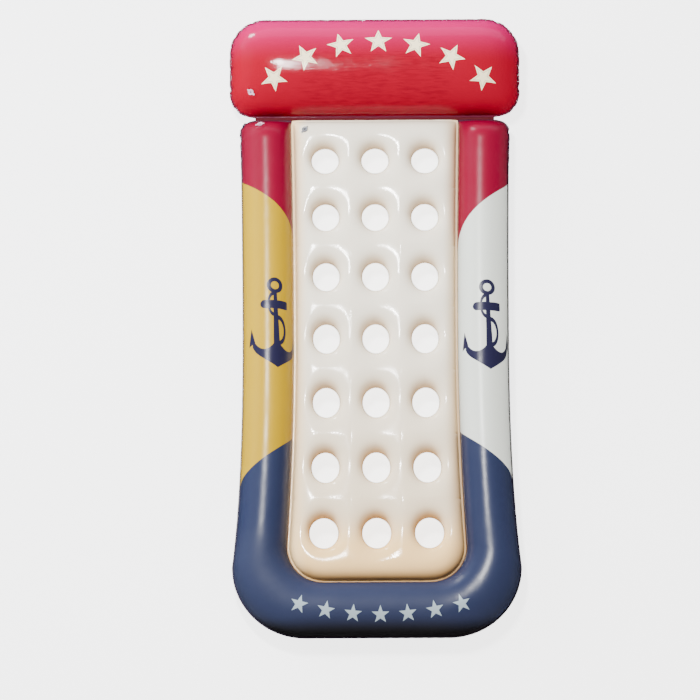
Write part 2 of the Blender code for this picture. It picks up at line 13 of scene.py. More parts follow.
import bmesh
import bpy
import numpy as np
from mathutils import Matrix, Vector, geometry, kdtree


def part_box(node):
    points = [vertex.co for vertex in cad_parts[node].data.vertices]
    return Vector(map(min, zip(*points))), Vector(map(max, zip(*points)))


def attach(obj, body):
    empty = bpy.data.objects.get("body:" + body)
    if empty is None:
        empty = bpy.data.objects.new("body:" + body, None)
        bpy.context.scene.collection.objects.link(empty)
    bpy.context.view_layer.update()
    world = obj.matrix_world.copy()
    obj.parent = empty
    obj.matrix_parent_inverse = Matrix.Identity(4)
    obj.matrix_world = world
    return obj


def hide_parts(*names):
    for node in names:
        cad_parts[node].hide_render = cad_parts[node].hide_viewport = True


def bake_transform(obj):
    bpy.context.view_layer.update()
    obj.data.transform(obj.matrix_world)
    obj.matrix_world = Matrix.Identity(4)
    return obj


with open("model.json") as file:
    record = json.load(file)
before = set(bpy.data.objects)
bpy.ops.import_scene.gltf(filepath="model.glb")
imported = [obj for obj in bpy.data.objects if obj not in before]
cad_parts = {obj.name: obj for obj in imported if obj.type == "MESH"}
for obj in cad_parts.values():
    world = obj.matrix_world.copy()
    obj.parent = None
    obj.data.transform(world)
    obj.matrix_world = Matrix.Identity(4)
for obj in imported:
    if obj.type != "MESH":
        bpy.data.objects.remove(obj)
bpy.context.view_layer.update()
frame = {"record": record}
JOINTS = {joint["name"]: joint for joint in frame["record"]["behaviour"]["joints"]}

LOG = logging.getLogger("pool_lounger")
FILM_PLACE = "film_place"
FROM_AXIS = "from_axis"
MERGE = 1e-5
TENTH = 1e-4
FLOOR_GAP = 0.0002
CURVE_SAMPLES = 800
BLACK = (0.0, 0.0, 0.0)
WHITE = (1.0, 1.0, 1.0)

Pair = tuple[float, float]
Triple = tuple[float, float, float]
Color = Triple
Array = np.ndarray
Link: TypeAlias = "Signal | bpy.types.NodeSocket | float | tuple"


class Side(Enum):
    """Which of a chamber's two films."""

    TOP = 1
    BOTTOM = -1


class Toward(Enum):
    """Which end of the lounger an arc bulges to."""

    HEAD = 1
    FOOT = -1


class Chamber(Enum):
    """The lounger's air chambers, with the body of their films and a slot name that nothing reads.
    """

    HEADREST = ("headrest", "red_film")
    FRAME = ("lounger", "printed_film")
    MATTRESS = ("lounger", "cream_film")

    def __init__(self, body: str, slot: str) -> None:
        """Keeps the films' body and a slot name that nothing reads."""
        self.body = body
        self.slot = slot

    @property
    def word(self) -> str:
        """The first word of the chamber's nodes."""
        return self.name.lower()


# Shader helpers


class Signal:
    """A number socket of a node tree that takes part in Python arithmetic."""

    def __init__(self, nodes: "Nodes", socket: bpy.types.NodeSocket) -> None:
        """Keeps the tree's helper and the socket that carries the value."""
        self.nodes = nodes
        self.socket = socket

    def math(self, operation: str, *others: "Signal | float", clamp: bool = False) -> "Signal":
        """Adds a Math node whose first input is this value.

        Args:
            operation: the Math node's operation.
            others: its further inputs.
            clamp: whether the result is held between 0 and 1.

        Returns:
            The node's result.
        """
        settings = {"operation": operation, "use_clamp": clamp}
        values = dict(enumerate((self, *others)))
        return Signal(self.nodes, self.nodes.add("ShaderNodeMath", settings, values).outputs[0])

    def __add__(self, other: "Signal | float") -> "Signal":
        """The sum."""
        return self.math("ADD", other)

    __radd__ = __add__

    def __mul__(self, other: "Signal | float") -> "Signal":
        """The product."""
        return self.math("MULTIPLY", other)

    __rmul__ = __mul__

    def __sub__(self, other: "Signal | float") -> "Signal":
        """The difference."""
        return self.math("SUBTRACT", other)

    def __rsub__(self, other: float) -> "Signal":
        """A number less this value."""
        return self.math("MULTIPLY_ADD", -1.0, other)

    def __truediv__(self, other: "Signal | float") -> "Signal":
        """The quotient."""
        return self.math("DIVIDE", other)

    def __pow__(self, power: float) -> "Signal":
        """The value to a power."""
        return self.math("POWER", power)

    def __neg__(self) -> "Signal":
        """The value with its sign changed."""
        return self.math("MULTIPLY", -1.0)

    def __abs__(self) -> "Signal":
        """The value without its sign."""
        return self.math("ABSOLUTE")

    def least(self, other: "Signal | float") -> "Signal":
        """The smaller of two values."""
        return self.math("MINIMUM", other)

    def most(self, other: "Signal | float") -> "Signal":
        """The larger of two values."""
        return self.math("MAXIMUM", other)

    def inside(self, soft: float = 0.0006) -> "Signal":
        """A mask that is 1 where this signed distance is negative, over a soft edge."""
        return self.math("MULTIPLY_ADD", -1.0 / soft, 0.5, clamp=True)

    def ramp(self, low: float, high: float) -> "Signal":
        """A smooth step.

        Args:
            low: the value at which it is 0.
            high: the value at which it is 1.

        Returns:
            The step.
        """
        values = {0: self, 1: low, 2: high, 3: 0.0, 4: 1.0}
        settings = {"interpolation_type": "SMOOTHSTEP"}
        return Signal(self.nodes, self.nodes.add("ShaderNodeMapRange", settings, values).outputs[0])


class Nodes:
    """The node tree of one material or world."""

    def __init__(self, owner: bpy.types.Material | bpy.types.World,
                 shader: str = "Principled BSDF") -> None:
        """Takes the tree over.

        Args:
            owner: the material or world.
            shader: name of the shader that the tree starts with.
        """
        owner.use_nodes = True
        self.tree = owner.node_tree
        self.shader = self.tree.nodes[shader]

    def add(self, kind: str, settings: dict, inputs: dict) -> bpy.types.Node:
        """Adds one node.

        Args:
            kind: the node's type.
            settings: properties that are set first, and the stops of a colour ramp.
            inputs: socket names or numbers, with their values or links.

        Returns:
            The node.
        """
        node = self.tree.nodes.new(kind)
        for name, value in settings.items():
            if name == "stops":
                for stop, (position, color) in zip(node.color_ramp.elements, value):
                    stop.position, stop.color = position, (*color, 1.0)
            else:
                setattr(node, name, value)
        for key, value in inputs.items():
            self.feed(node.inputs[key], value)
        return node

    def feed(self, socket: bpy.types.NodeSocket, value: Link) -> None:
        """Links a socket to a signal or an output, or sets its value.

        Args:
            socket: the socket.
            value: what it gets.
        """
        if isinstance(value, Signal):
            value = value.socket
        if isinstance(value, bpy.types.NodeSocket):
            self.tree.links.new(value, socket)
        elif isinstance(value, tuple) and len(value) == 3 and socket.type == "RGBA":
            socket.default_value = (*value, 1.0)
        else:
            socket.default_value = value

    def dress(self, inputs: dict[str, Link]) -> None:
        """Feeds the shader's own sockets."""
        for name, value in inputs.items():
            self.feed(self.shader.inputs[name], value)

    def split(self, vector: bpy.types.NodeSocket) -> tuple[Signal, ...]:
        """A vector's three parts."""
        parts = self.add("ShaderNodeSeparateXYZ", {}, {0: vector}).outputs
        return tuple(Signal(self, part) for part in parts)

    def film_place(self) -> tuple[Signal, ...]:
        """The film's own places: across and along its flat cut, and over its weld."""
        read = self.add("ShaderNodeAttribute", {"attribute_name": FILM_PLACE}, {})
        return self.split(read.outputs["Vector"])

    def mix(self, mask: Link, first: Link, second: Link) -> bpy.types.NodeSocket:
        """The first colour where the mask is 0 and the second where it is 1."""
        settings = {"data_type": "RGBA"}
        return self.add("ShaderNodeMix", settings, {0: mask, 6: first, 7: second}).outputs[2]

    def noise(self, scale: float, detail: float = 2.0,
              stretch: Triple = (1.0, 1.0, 1.0)) -> Signal:
        """Noise in the object's own places.

        Args:
            scale: cycles in a metre.
            detail: octaves.
            stretch: factors on the three axes.

        Returns:
            A value near one half.
        """
        place = self.add("ShaderNodeTexCoord", {}, {}).outputs["Object"]
        scaled = self.add("ShaderNodeMapping", {}, {"Vector": place, "Scale": stretch}).outputs[0]
        values = {"Vector": scaled, "Scale": scale, "Detail": detail}
        return Signal(self, self.add("ShaderNodeTexNoise", {}, values).outputs[0])

    def bump(self, height: Signal, strength: float, distance: float) -> bpy.types.NodeSocket:
        """The normal of fine relief, by how much of it shows and by its full height."""
        values = {"Strength": strength, "Distance": distance, "Height": height}
        return self.add("ShaderNodeBump", {}, values).outputs[0]


# Finishes


@dataclass(frozen=True)
class FilmFinish:
    """Glossy soft PVC film in one colour, with painted shade beside its welds, a faint ripple and
    worn shine.
    """

    name: str
    color: Color
    roughness: float = 0.22
    index: float = 1.22
    weld_color: Color = (0.018, 0.012, 0.026)
    weld_share: float = 0.8
    weld_soft: float = 0.0008
    side_shade: float = 0.15
    side_reach: Pair = (0.012, 0.060)
    wear: float = 0.08
    wear_scale: float = 14.0
    cloud_range: Pair = (0.35, 0.75)
    new_roughness: float = -0.04
    ripple: float = 0.10
    ripple_height: float = 0.004
    ripples: tuple[Pair, Pair] = ((38.0, 0.7), (160.0, 0.12))

    def paint(self, nodes: Nodes) -> Link:
        """The colour over the film, which is plain here."""
        return self.color

    def matte(self, nodes: Nodes) -> Signal:
        """Roughness that is added by wear."""
        return nodes.noise(self.wear_scale, detail=3.0).ramp(*self.cloud_range) * self.wear

    def height(self, nodes: Nodes) -> Signal:
        """The film's fine ripple for its bump."""
        wide, fine = (nodes.noise(scale) * share for scale, share in self.ripples)
        return wide + fine

    def material(self) -> bpy.types.Material:
        """Builds the material.

        Returns:
            The Blender material.
        """
        material = bpy.data.materials.new(self.name)
        nodes = Nodes(material)
        over_weld = nodes.film_place()[2]
        # painted shade: the colour darkens beside the weld, where the film turns away from the
        # light
        side = 1.0 - over_weld.ramp(*self.side_reach)
        shaded = nodes.mix(side * self.side_shade, self.paint(nodes), BLACK)
        margin = over_weld.inside(self.weld_soft) * self.weld_share
        nodes.dress({"Base Color": nodes.mix(margin, shaded, self.weld_color),
                     "Roughness": self.matte(nodes) + (self.roughness + self.new_roughness),
                     "Normal": nodes.bump(self.height(nodes), self.ripple, self.ripple_height),
                     "IOR": self.index, "Specular IOR Level": 1.0})
        return material


@dataclass(frozen=True)
class StarRow:
    """A row of equal stars along an arc of the film."""

    count: int
    radius: float
    arc_radius: float
    center: Pair
    spacing: float
    toward: Toward
    inner_share: float = 0.40

    def star(self, across: Signal, along: Signal) -> Signal:
        """Signed distance to a five-point star.

        Args:
            across: place across the star, from its centre.
            along: place along it, towards its top point.

        Returns:
            The distance, negative inside.
        """
        tenth = math.tau / 10
        reach = (across * across + along * along).math("SQRT")
        turn = abs(across.math("ARCTAN2", along).math("WRAP", tenth, -tenth))
        start = Vector((self.radius, 0.0))
        end = Vector((math.cos(tenth), math.sin(tenth))) * self.radius * self.inner_share
        side = (end - start).normalized()
        out = turn.math("COSINE") * reach - start.x
        up = turn.math("SINE") * reach
        return out * side.y - up * side.x

    def distance(self, nodes: Nodes) -> Signal:
        """Signed distance to the nearest star of the row.

        Args:
            nodes: the material's tree.

        Returns:
            The distance, negative inside.
        """
        crown = float(self.toward.value)
        across, along, _ = nodes.film_place()
        x, y = across - self.center[0], (along - self.center[1]) * crown
        step = self.spacing / self.arc_radius
        turn = x.math("ARCTAN2", y)
        near = turn.math("WRAP", step / 2, -step / 2)
        out = (x * x + y * y).math("SQRT") - self.arc_radius
        limit = abs(turn) * self.arc_radius - self.spacing * self.count / 2
        return self.star(near * self.arc_radius, out * crown).most(limit)


@dataclass(frozen=True)
class HeadrestPrint(FilmFinish):
    """Red film with an arc of cream stars, a painted sheen on its far side and a fine crinkle
    across its crown with painted shade in it.
    """

    far_color: Color = (0.52, 0.0, 0.120)
    far_reach: Pair = (0.0, 0.16)
    star_color: Color = (0.93, 0.80, 0.52)
    stars: StarRow = StarRow(7, 0.035, 0.405, (0.010, -0.348), 0.094, Toward.HEAD)
    line_color: Color = (0.05, 0.0, 0.01)
    line_share: float = 0.55
    line_inset: float = 0.0032
    line_half: float = 0.0006
    crease_color: Color = (0.13, 0.0, 0.006)
    crease_share: float = 0.45
    crease_scale: float = 240.0
    crease_stretch: Triple = (0.13, 1.0, 1.0)
    crease_ends: Pair = (0.15, 0.30)
    crease_far: Pair = (0.01, 0.08)
    crease_height: float = 1.5

    def paint(self, nodes: Nodes) -> Link:
        """Stars with a thin dark line inside their edge, on red with a painted pink sheen towards
        the far side and painted shade in its creases.

        Args:
            nodes: the material's tree.

        Returns:
            The colour.
        """
        along = nodes.film_place()[1]
        shape = self.stars.distance(nodes)
        line = (abs(shape + self.line_inset) - self.line_half).inside()
        # painted shade: the red darkens along the fine creases
        crease = self.crease(nodes).ramp(*self.cloud_range) * self.crease_share
        # painted sheen: the red pales to pink towards the far side, standing in for reflected sky
        red = nodes.mix(along.ramp(*self.far_reach), self.color, self.far_color)
        red = nodes.mix(crease, red, self.crease_color)
        filled = nodes.mix(shape.inside(), red, self.star_color)
        return nodes.mix(line * self.line_share, filled, self.line_color)

    def crease(self, nodes: Nodes) -> Signal:
        """Fine creases that run across the pillow, strongest in its middle.

        Args:
            nodes: the material's tree.

        Returns:
            Their height, from 0 to 1.
        """
        across, along, _ = nodes.film_place()
        ends, far = abs(across).ramp(*self.crease_ends), along.ramp(*self.crease_far)
        fine = nodes.noise(self.crease_scale, detail=3.0, stretch=self.crease_stretch)
        return fine * (1.0 - ends) * (1.0 - far)

    def height(self, nodes: Nodes) -> Signal:
        """The ripple with the creases."""
        return super().height(nodes) + self.crease(nodes) * self.crease_height


@dataclass(frozen=True)
class Band:
    """A round band of a print, which may be squeezed across."""

    center: Pair
    squeeze: float
    radius: float
    half: float

    def distance(self, x: Signal, y: Signal) -> Signal:
        """Signed distance to the band."""
        out, up = (x - self.center[0]) * self.squeeze, y - self.center[1]
        return abs((out * out + up * up).math("SQRT") - self.radius) - self.half


@dataclass(frozen=True)
class AnchorPrint:
    """A traditional anchor with a rope round its shank, in places from its crown's tip."""

    lean: float = -0.033
    stock_y: float = 0.162
    stock_half: Pair = (0.038, 0.0108)
    stock_cut: float = 0.033
    shank_half: float = 0.0100
    shank_taper: float = 0.030
    shank_ends: Pair = (0.030, 0.200)
    arm_slope: float = 0.66
    arm_end: float = 0.0645
    arm_curl: float = 0.0128
    arm_power: float = 8.0
    arm_reach: float = 0.063
    arm_scale: float = 0.75
    hollow: Pair = (0.031, 0.0465)
    hollow_bend: float = 28.0
    fluke: tuple[Pair, ...] = ((0.0655, 0.101), (0.0545, 0.064), (0.0750, 0.054))
    ring: Band = Band((0.0, 0.211), 1.0, 0.0152, 0.0050)
    rope: Band = Band((0.004, 0.096), 1.75, 0.033, 0.0058)
    loop: Band = Band((-0.003, 0.163), 1.9, 0.0275, 0.0050)

    def distance(self, x: Signal, y: Signal) -> Signal:
        """Signed distance to the anchor.

        Args:
            x: place across, from the crown's tip.
            y: place up from the tip.

        Returns:
            The distance, negative inside.
        """
        x = x - y * self.lean
        out = abs(x)
        stock = Band((0.0, self.stock_y), 1.0, 0.0, self.stock_half[1])
        stock_out = (out - (self.stock_half[0] - self.stock_half[1])).most(0.0)
        low_end, top_end = self.shank_ends
        shank = out + y * self.shank_taper - self.shank_half
        low = out * self.arm_slope + (out / self.arm_end) ** self.arm_power * self.arm_curl
        high = (out - self.hollow[0]) ** 2.0 * self.hollow_bend + self.hollow[1]
        shape = self.ring.distance(x, y)
        for part in (stock.distance(stock_out, y).most(x - self.stock_cut),
                     shank.most(y - top_end).most(low_end - y),
                     ((low - y).most(y - high) * self.arm_scale).most(out - self.arm_reach),
                     self.barb(out, y), self.rope.distance(x, y).most(-x),
                     self.loop.distance(x, y).most(x)):
            shape = shape.least(part)
        return shape

    def barb(self, out: Signal, y: Signal) -> Signal:
        """Signed distance to the barbed tip of an arm.

        Args:
            out: distance from the anchor's middle line.
            y: place up from the crown's tip.

        Returns:
            The distance, negative inside.
        """
        sides = []
        for start, end in zip(self.fluke, self.fluke[1:] + self.fluke[:1]):
            side = (Vector(end) - Vector(start)).normalized()
            sides.append((out - start[0]) * side.y - (y - start[1]) * side.x)
        return sides[0].most(sides[1]).most(sides[2])


@dataclass(frozen=True)
class FramePrint(FilmFinish):
    """Side tube film: red heads, a yellow and a white leg with anchors, a navy foot that darkens to
    painted shade at its outer edge.
    """

    yellow: Color = (0.40, 0.245, 0.0)
    white: Color = (0.60, 0.63, 0.57)
    navy: Color = (0.0170, 0.0230, 0.0560)
    rim_color: Color = (0.0050, 0.0045, 0.0060)
    rim_reach: Pair = (-0.745, 0.055)
    figure: Color = (0.0110, 0.0100, 0.0330)
    crest: float = 0.2648
    shift: float = 0.010
    head_edge: Triple = (0.315, 0.81, -2.2)
    foot_edge: Pair = (-0.334, -0.74)
    line_color: Color = (0.05, 0.03, 0.04)
    line_share: float = 0.5
    line_half: float = 0.0005
    anchor: AnchorPrint = AnchorPrint()
    anchor_x: Pair = (-0.2418, 0.2828)
    anchor_y: Pair = (-0.118, -0.126)
    star_color: Color = (0.30, 0.38, 0.42)
    star_share: float = 0.92
    stars: StarRow = StarRow(7, 0.0225, 0.757, (0.008, 0.008), 0.067, Toward.FOOT)
    dull: float = 0.28
    dull_reach: Pair = (-0.50, 0.09)
    dull_right: Pair = (0.13, 0.21)

    def paint(self, nodes: Nodes) -> Link:
        """Colour blocks with slanted edges, anchors on the legs, stars at the foot and painted
        shade on the foot's outer edge.

        Args:
            nodes: the material's tree.

        Returns:
            The colour.
        """
        across, along, _ = nodes.film_place()
        right = across.math("GREATER_THAN", 0.0)
        outward = abs(across) - self.crest - (right * 2.0 - 1.0) * self.shift
        level, slope, bend = self.head_edge
        over_head = along - (outward * slope + outward * outward * bend + level)
        over_foot = along - (outward * self.foot_edge[1] + self.foot_edge[0])
        lines = (abs(over_head) - self.line_half).least(abs(over_foot) - self.line_half)
        color = nodes.mix((-over_head).inside(), nodes.mix(right, self.yellow, self.white),
                          self.color)
        # painted shade: the navy darkens to near black on the foot's outer slope, which faces away
        # from the light
        rim = (self.rim_reach[0] - along).ramp(0.0, self.rim_reach[1])
        color = nodes.mix(over_foot.inside(), color, nodes.mix(rim, self.navy, self.rim_color))
        color = nodes.mix(lines.inside() * self.line_share, color, self.line_color)
        places = [place - (right * (second - first) + first) for place, (first, second) in
                  ((across, self.anchor_x), (along, self.anchor_y))]
        color = nodes.mix(self.anchor.distance(*places).inside(), color, self.figure)
        star = self.stars.distance(nodes).inside() * self.star_share
        return nodes.mix(star, color, self.star_color)

    def matte(self, nodes: Nodes) -> Signal:
        """The foot is duller than the legs, but for its right corner.

        Args:
            nodes: the material's tree.

        Returns:
            Roughness that is added.
        """
        across, along, _ = nodes.film_place()
        foot = (self.dull_reach[0] - along).ramp(0.0, self.dull_reach[1])
        return super().matte(nodes) + foot * (1.0 - across.ramp(*self.dull_right)) * self.dull


@dataclass(frozen=True)
class MattressFinish(FilmFinish):
    """Cream film with painted light and shade: warmer towards the foot, tan in its dimples, lighter
    at its left edge and darker at its right edge and flange.
    """

    weld_share: float = 0.0
    side_shade: float = 0.0
    foot_color: Color = (0.78, 0.57, 0.32)
    foot_reach: Pair = (0.10, 0.75)
    foot_share: float = 0.60
    end_color: Color = (0.92, 0.57, 0.20)
    end_reach: Pair = (-0.47, 0.11)
    end_share: float = 0.8
    crease_color: Color = (0.46, 0.26, 0.095)
    crease_reach: Pair = (0.001, 0.045)
    crease_shares: Triple = (0.20, 0.40, 0.40)
    rightward: float = 0.45
    slope_range: Pair = (-0.05, 0.55)
    edge_reach: Pair = (0.165, 0.205)
    left_color: Color = (1.0, 0.70, 0.36)
    left_share: float = 0.80
    right_color: Color = (0.66, 0.42, 0.19)
    right_share: float = 0.60
    rim_color: Color = (0.24, 0.12, 0.055)
    rim_width: float = 0.0065
    rim_shares: Pair = (0.15, 0.85)

    def paint(self, nodes: Nodes) -> Link:
        """Cream at the crowns, with painted shade: tan beside the welds and most where the film
        faces the foot.

        Args:
            nodes: the material's tree.

        Returns:
            The colour.
        """
        across, along, over_weld = nodes.film_place()
        normal = nodes.split(nodes.add("ShaderNodeTexCoord", {}, {}).outputs["Normal"])
        # painted shade falls most where the film faces the foot, away from the light
        slope = (normal[0] * self.rightward - normal[1]).ramp(*self.slope_range)
        foot = (self.foot_reach[0] - along).ramp(0.0, self.foot_reach[1])
        end = (self.end_reach[0] - along).ramp(0.0, self.end_reach[1])
        flat_share, slope_share, foot_share = self.crease_shares
        crease = slope * (foot * foot_share + slope_share) + flat_share
        rim = (-over_weld).ramp(0.0, self.rim_width)
        color = self.color
        for mask, tint in (
                # painted warm light towards the foot, and painted warm shade in the strip beside
                # the foot seam
                (foot * self.foot_share, self.foot_color), (end * self.end_share, self.end_color),
                # painted shade: tan beside the welds, most where the film faces the foot
                ((1.0 - over_weld.ramp(*self.crease_reach)) * crease, self.crease_color),
                # painted light on the left edge and painted shade on the right edge
                ((-across).ramp(*self.edge_reach) * self.left_share, self.left_color),
                (across.ramp(*self.edge_reach) * self.right_share, self.right_color),
                # painted shadow: a dark line along the outer flange, strongest towards the foot
                (rim * (foot * self.rim_shares[1] + self.rim_shares[0]), self.rim_color)):
            color = nodes.mix(mask, color, tint)
        return color


@dataclass(frozen=True)
class ClearVinyl:
    """Clear moulded vinyl of the valves, milky, and darker near its axis."""

    name: str
    color: Color = (0.60, 0.30, 0.39)
    pale: Color = (0.86, 0.60, 0.70)
    core: Color = (0.16, 0.09, 0.20)
    core_reach: Pair = (0.0018, 0.0032)
    cloud_scale: float = 420.0
    cloud_range: Pair = (0.3, 0.8)
    cloud_roughness: float = 0.10
    grain_scale: float = 900.0
    grain: float = 0.15
    grain_height: float = 0.0004
    alpha: float = 0.78
    roughness: float = 0.16
    coat: float = 0.4

    def material(self) -> bpy.types.Material:
        """Builds the material.

        Returns:
            The Blender material.
        """
        material = bpy.data.materials.new(self.name)
        nodes = Nodes(material)
        cloud = nodes.noise(self.cloud_scale).ramp(*self.cloud_range)
        read = nodes.add("ShaderNodeAttribute", {"attribute_name": FROM_AXIS}, {})
        core = 1.0 - Signal(nodes, read.outputs["Fac"]).ramp(*self.core_reach)
        milk = nodes.mix(cloud, self.color, self.pale)
        grain = nodes.noise(self.grain_scale)
        nodes.dress({"Base Color": nodes.mix(core, milk, self.core),
                     "Roughness": cloud * self.cloud_roughness + self.roughness,
                     "Normal": nodes.bump(grain, self.grain, self.grain_height),
                     "Alpha": self.alpha, "Coat Weight": self.coat})
        return material


# Mesh helpers


def arc_inset(radius: float, distance: Array | float) -> Array:
    """How far a round corner draws in at a distance from the edge it ends at."""
    run = np.clip(distance, 0.0, radius)
    return radius - np.sqrt(np.maximum(0.0, radius ** 2 - (radius - run) ** 2))


def even_steps(points: Array, count: int) -> Array:
    """Fractional positions in a dense curve's list that cut its length into equal steps."""
    lengths = np.r_[0.0, np.cumsum(np.linalg.norm(np.diff(points, axis=0), axis=1))]
    return np.interp(np.linspace(0.0, lengths[-1], count + 1), lengths, np.arange(len(points)))


def search_tree(places: Sequence) -> kdtree.KDTree:
    """Makes a tree that finds the nearest of some places.

    Args:
        places: the places.

    Returns:
        The tree.
    """
    tree = kdtree.KDTree(len(places))
    for index, place in enumerate(places):
        tree.insert(place, index)
    tree.balance()
    return tree


def join_rings(bm: bmesh.types.BMesh, rings: Sequence[list], closed: bool = True,
               turn: bool = False) -> None:
    """Joins neighbouring rings of vertices with faces.

    Args:
        bm: the mesh, changed in place.
        rings: equally long lists of vertices, or a list of one where they meet in a point.
        closed: whether a ring's last vertex joins its first.
        turn: whether the faces look the other way.
    """
    for first, second in zip(rings, rings[1:]):
        count = max(len(first), len(second))
        for index in range(count if closed else count - 1):
            after = (index + 1) % count
            corners = [ring[step % len(ring)] for ring, step in
                       ((first, index), (second, index), (second, after), (first, after))]
            face = list(dict.fromkeys(corners))
            bm.faces.new(face[:1] + face[:0:-1] if turn else face)


def add_object(name: str, bm: bmesh.types.BMesh, material: bpy.types.Material) -> bpy.types.Object:
    """Makes a smooth object of the scene from a finished mesh, and reports it.

    Args:
        name: the object's.
        bm: its mesh, which is freed.
        material: its finish.

    Returns:
        The object.
    """
    mesh = bpy.data.meshes.new(name)
    bm.to_mesh(mesh)
    bm.free()
    mesh.shade_smooth()
    mesh.materials.append(material)
    obj = bpy.data.objects.new(name, mesh)
    bpy.context.scene.collection.objects.link(obj)
    LOG.info("%s: %d faces", name, len(mesh.polygons))
    return obj


def thicken(obj: bpy.types.Object, thickness: float, offset: float) -> None:
    """Gives an open skin its thickness.

    Args:
        obj: the skin.
        thickness: how thick it gets.
        offset: -1 for a film that grows inwards, 0 for both ways.
    """
    solid = obj.modifiers.new("film thickness", "SOLIDIFY")
    solid.thickness = thickness
    solid.offset = offset


# The lounger's plan


@dataclass
class Plan:
    """Sizes of the lounger seen from above, measured from the hinge line."""

    skin: float = 0.0003
    layer_gap: float = 0.0003
    seam_clearance: float = 0.0008
    side_flange: float = 0.006
    edge_flange: float = 0.004
    end_flange: float = 0.005
    hinge_strip: float = 0.006
    rest_cut: float = 0.0005
    columns: int = 3
    rows: int = 7
    column_pitch: float = 0.122
    row_pitch: float = 0.1676
    row_draw: float = 0.020
    hole_width: float = 0.0655
    hole_length: float = 0.0795
    side_margin: float = 0.075
    head_margin: float = 0.1026
    foot_margin: float = 0.1199
    panel_corner: float = 0.090
    head_flare: float = 0.006
    foot_flare: float = 0.018
    tube_width: float = 0.122
    foot_swell: float = 0.008
    foot_tube_width: float = 0.136
    tube_corner: float = 0.180

    def __post_init__(self) -> None:
        """Works out the places that follow from the sizes."""
        self.hinge = Vector(JOINTS["headrest_fold"]["pos_m"])
        self.weld_lift = self.layer_gap / 2 + self.skin
        self.sandwich_lift = self.weld_lift + self.layer_gap + self.skin
        self.pillow_y = self.hinge_strip / 2 + self.end_flange
        self.seam_y = -self.pillow_y
        self.row_y = [self.seam_y - self.head_margin]
        for index in range(self.rows - 1):
            draw = self.row_draw * (1.0 - index / (self.rows - 2)) ** 2
            self.row_y.append(self.row_y[-1] - self.row_pitch + draw)
        self.mattress_foot_y = self.row_y[-1] - self.foot_margin
        self.panel_foot_y = self.mattress_foot_y - self.side_flange
        outer_foot_y = self.panel_foot_y - self.seam_clearance - self.foot_tube_width
        self.foot_edge_y = outer_foot_y - self.edge_flange
        self.inner_arc_y = self.panel_foot_y + self.panel_corner
        self.outer_arc_y = self.foot_edge_y + self.tube_corner
        self.waist_y = self.row_y[self.rows // 2]
        self.panel_waist = self.column_pitch + self.side_margin + self.side_flange

    def toward_foot(self, y: Array | float) -> Array:
        """The share of the way from the waist to the foot's corners."""
        return np.clip((self.waist_y - y) / (self.waist_y - self.inner_arc_y), 0.0, 1.0)

    def flare(self, y: Array | float) -> Array:
        """How far the panel's sides stand out from its waist."""
        head = np.clip((y - self.waist_y) / (self.seam_y - self.waist_y), 0.0, 1.0)
        return self.head_flare * head ** 2 + self.foot_flare * self.toward_foot(y) ** 2

    def swell(self, y: Array | float) -> Array:
        """How much wider the side tube gets towards the foot."""
        return self.foot_swell * self.toward_foot(y) ** 4

    def panel_half(self, y: Array | float) -> Array:
        """Half width of the panel with its flanges."""
        return self.panel_waist + self.flare(y)

    def seam_half(self, y: Array | float) -> Array:
        """Half width of the mattress chamber."""
        corner = arc_inset(self.panel_corner - self.side_flange, y - self.mattress_foot_y)
        return self.panel_half(y) - self.side_flange - corner

    def column_x(self, column: int, y: Array | float) -> Array:
        """Where a column of holes is at a place along the panel."""
        return (column - (self.columns - 1) / 2) * (self.column_pitch + self.flare(y) / 2)

    def hole(self, column: int, row: int) -> tuple[float, float, float, float]:
        """Gives one hole of the mattress.

        Args:
            column: its column, from the left.
            row: its row, from the head.

        Returns:
            Its centre and half sizes.
        """
        y = self.row_y[row]
        share = max(0.0, 1.0 - (row - 1 / 2) / (self.rows - 2))
        half_x = self.hole_width / 2 * (1 + float(self.flare(y)) / self.panel_waist)
        half_y = self.hole_length / 2 * (1.0 - self.row_draw / self.row_pitch * share ** 2)
        return float(self.column_x(column, y)), y, half_x, half_y


# Films


@dataclass
class Patch:
    """One film in its chamber's own frame, before its flange and its port.

    Attributes:
        points: places of its vertices.
        faces: corners of its faces, seen anticlockwise from outside.
        fixed: which vertices are on a weld.
        flat: each vertex's place on the flat cut.
    """

    points: Array
    faces: list[tuple[int, ...]]
    fixed: Array
    flat: Array

    @classmethod
    def grid(cls, points: Array, flat: Array, turn: bool) -> "Patch":
        """Makes a film whose vertices form a grid, welded all round.

        Args:
            points: their places, by row and column.
            flat: the same on the flat cut.
            turn: whether the faces look the other way.

        Returns:
            The film.
        """
        rows, columns = points.shape[:2]
        faces = []
        for row in range(rows - 1):
            for corner in range(row * columns, (row + 1) * columns - 1):
                face = (corner, corner + 1, corner + columns + 1, corner + columns)
                faces.append(face[::-1] if turn else face)
        fixed = np.ones((rows, columns), bool)
        fixed[1:-1, 1:-1] = False
        return cls(points.reshape(-1, 3), faces, fixed.ravel(), flat.reshape(-1, 2))

    def weld_distance(self) -> Array:
        """How far each vertex is from the nearest weld."""
        tree = search_tree(self.points[self.fixed])
        return np.array([tree.find(point)[2] for point in self.points])


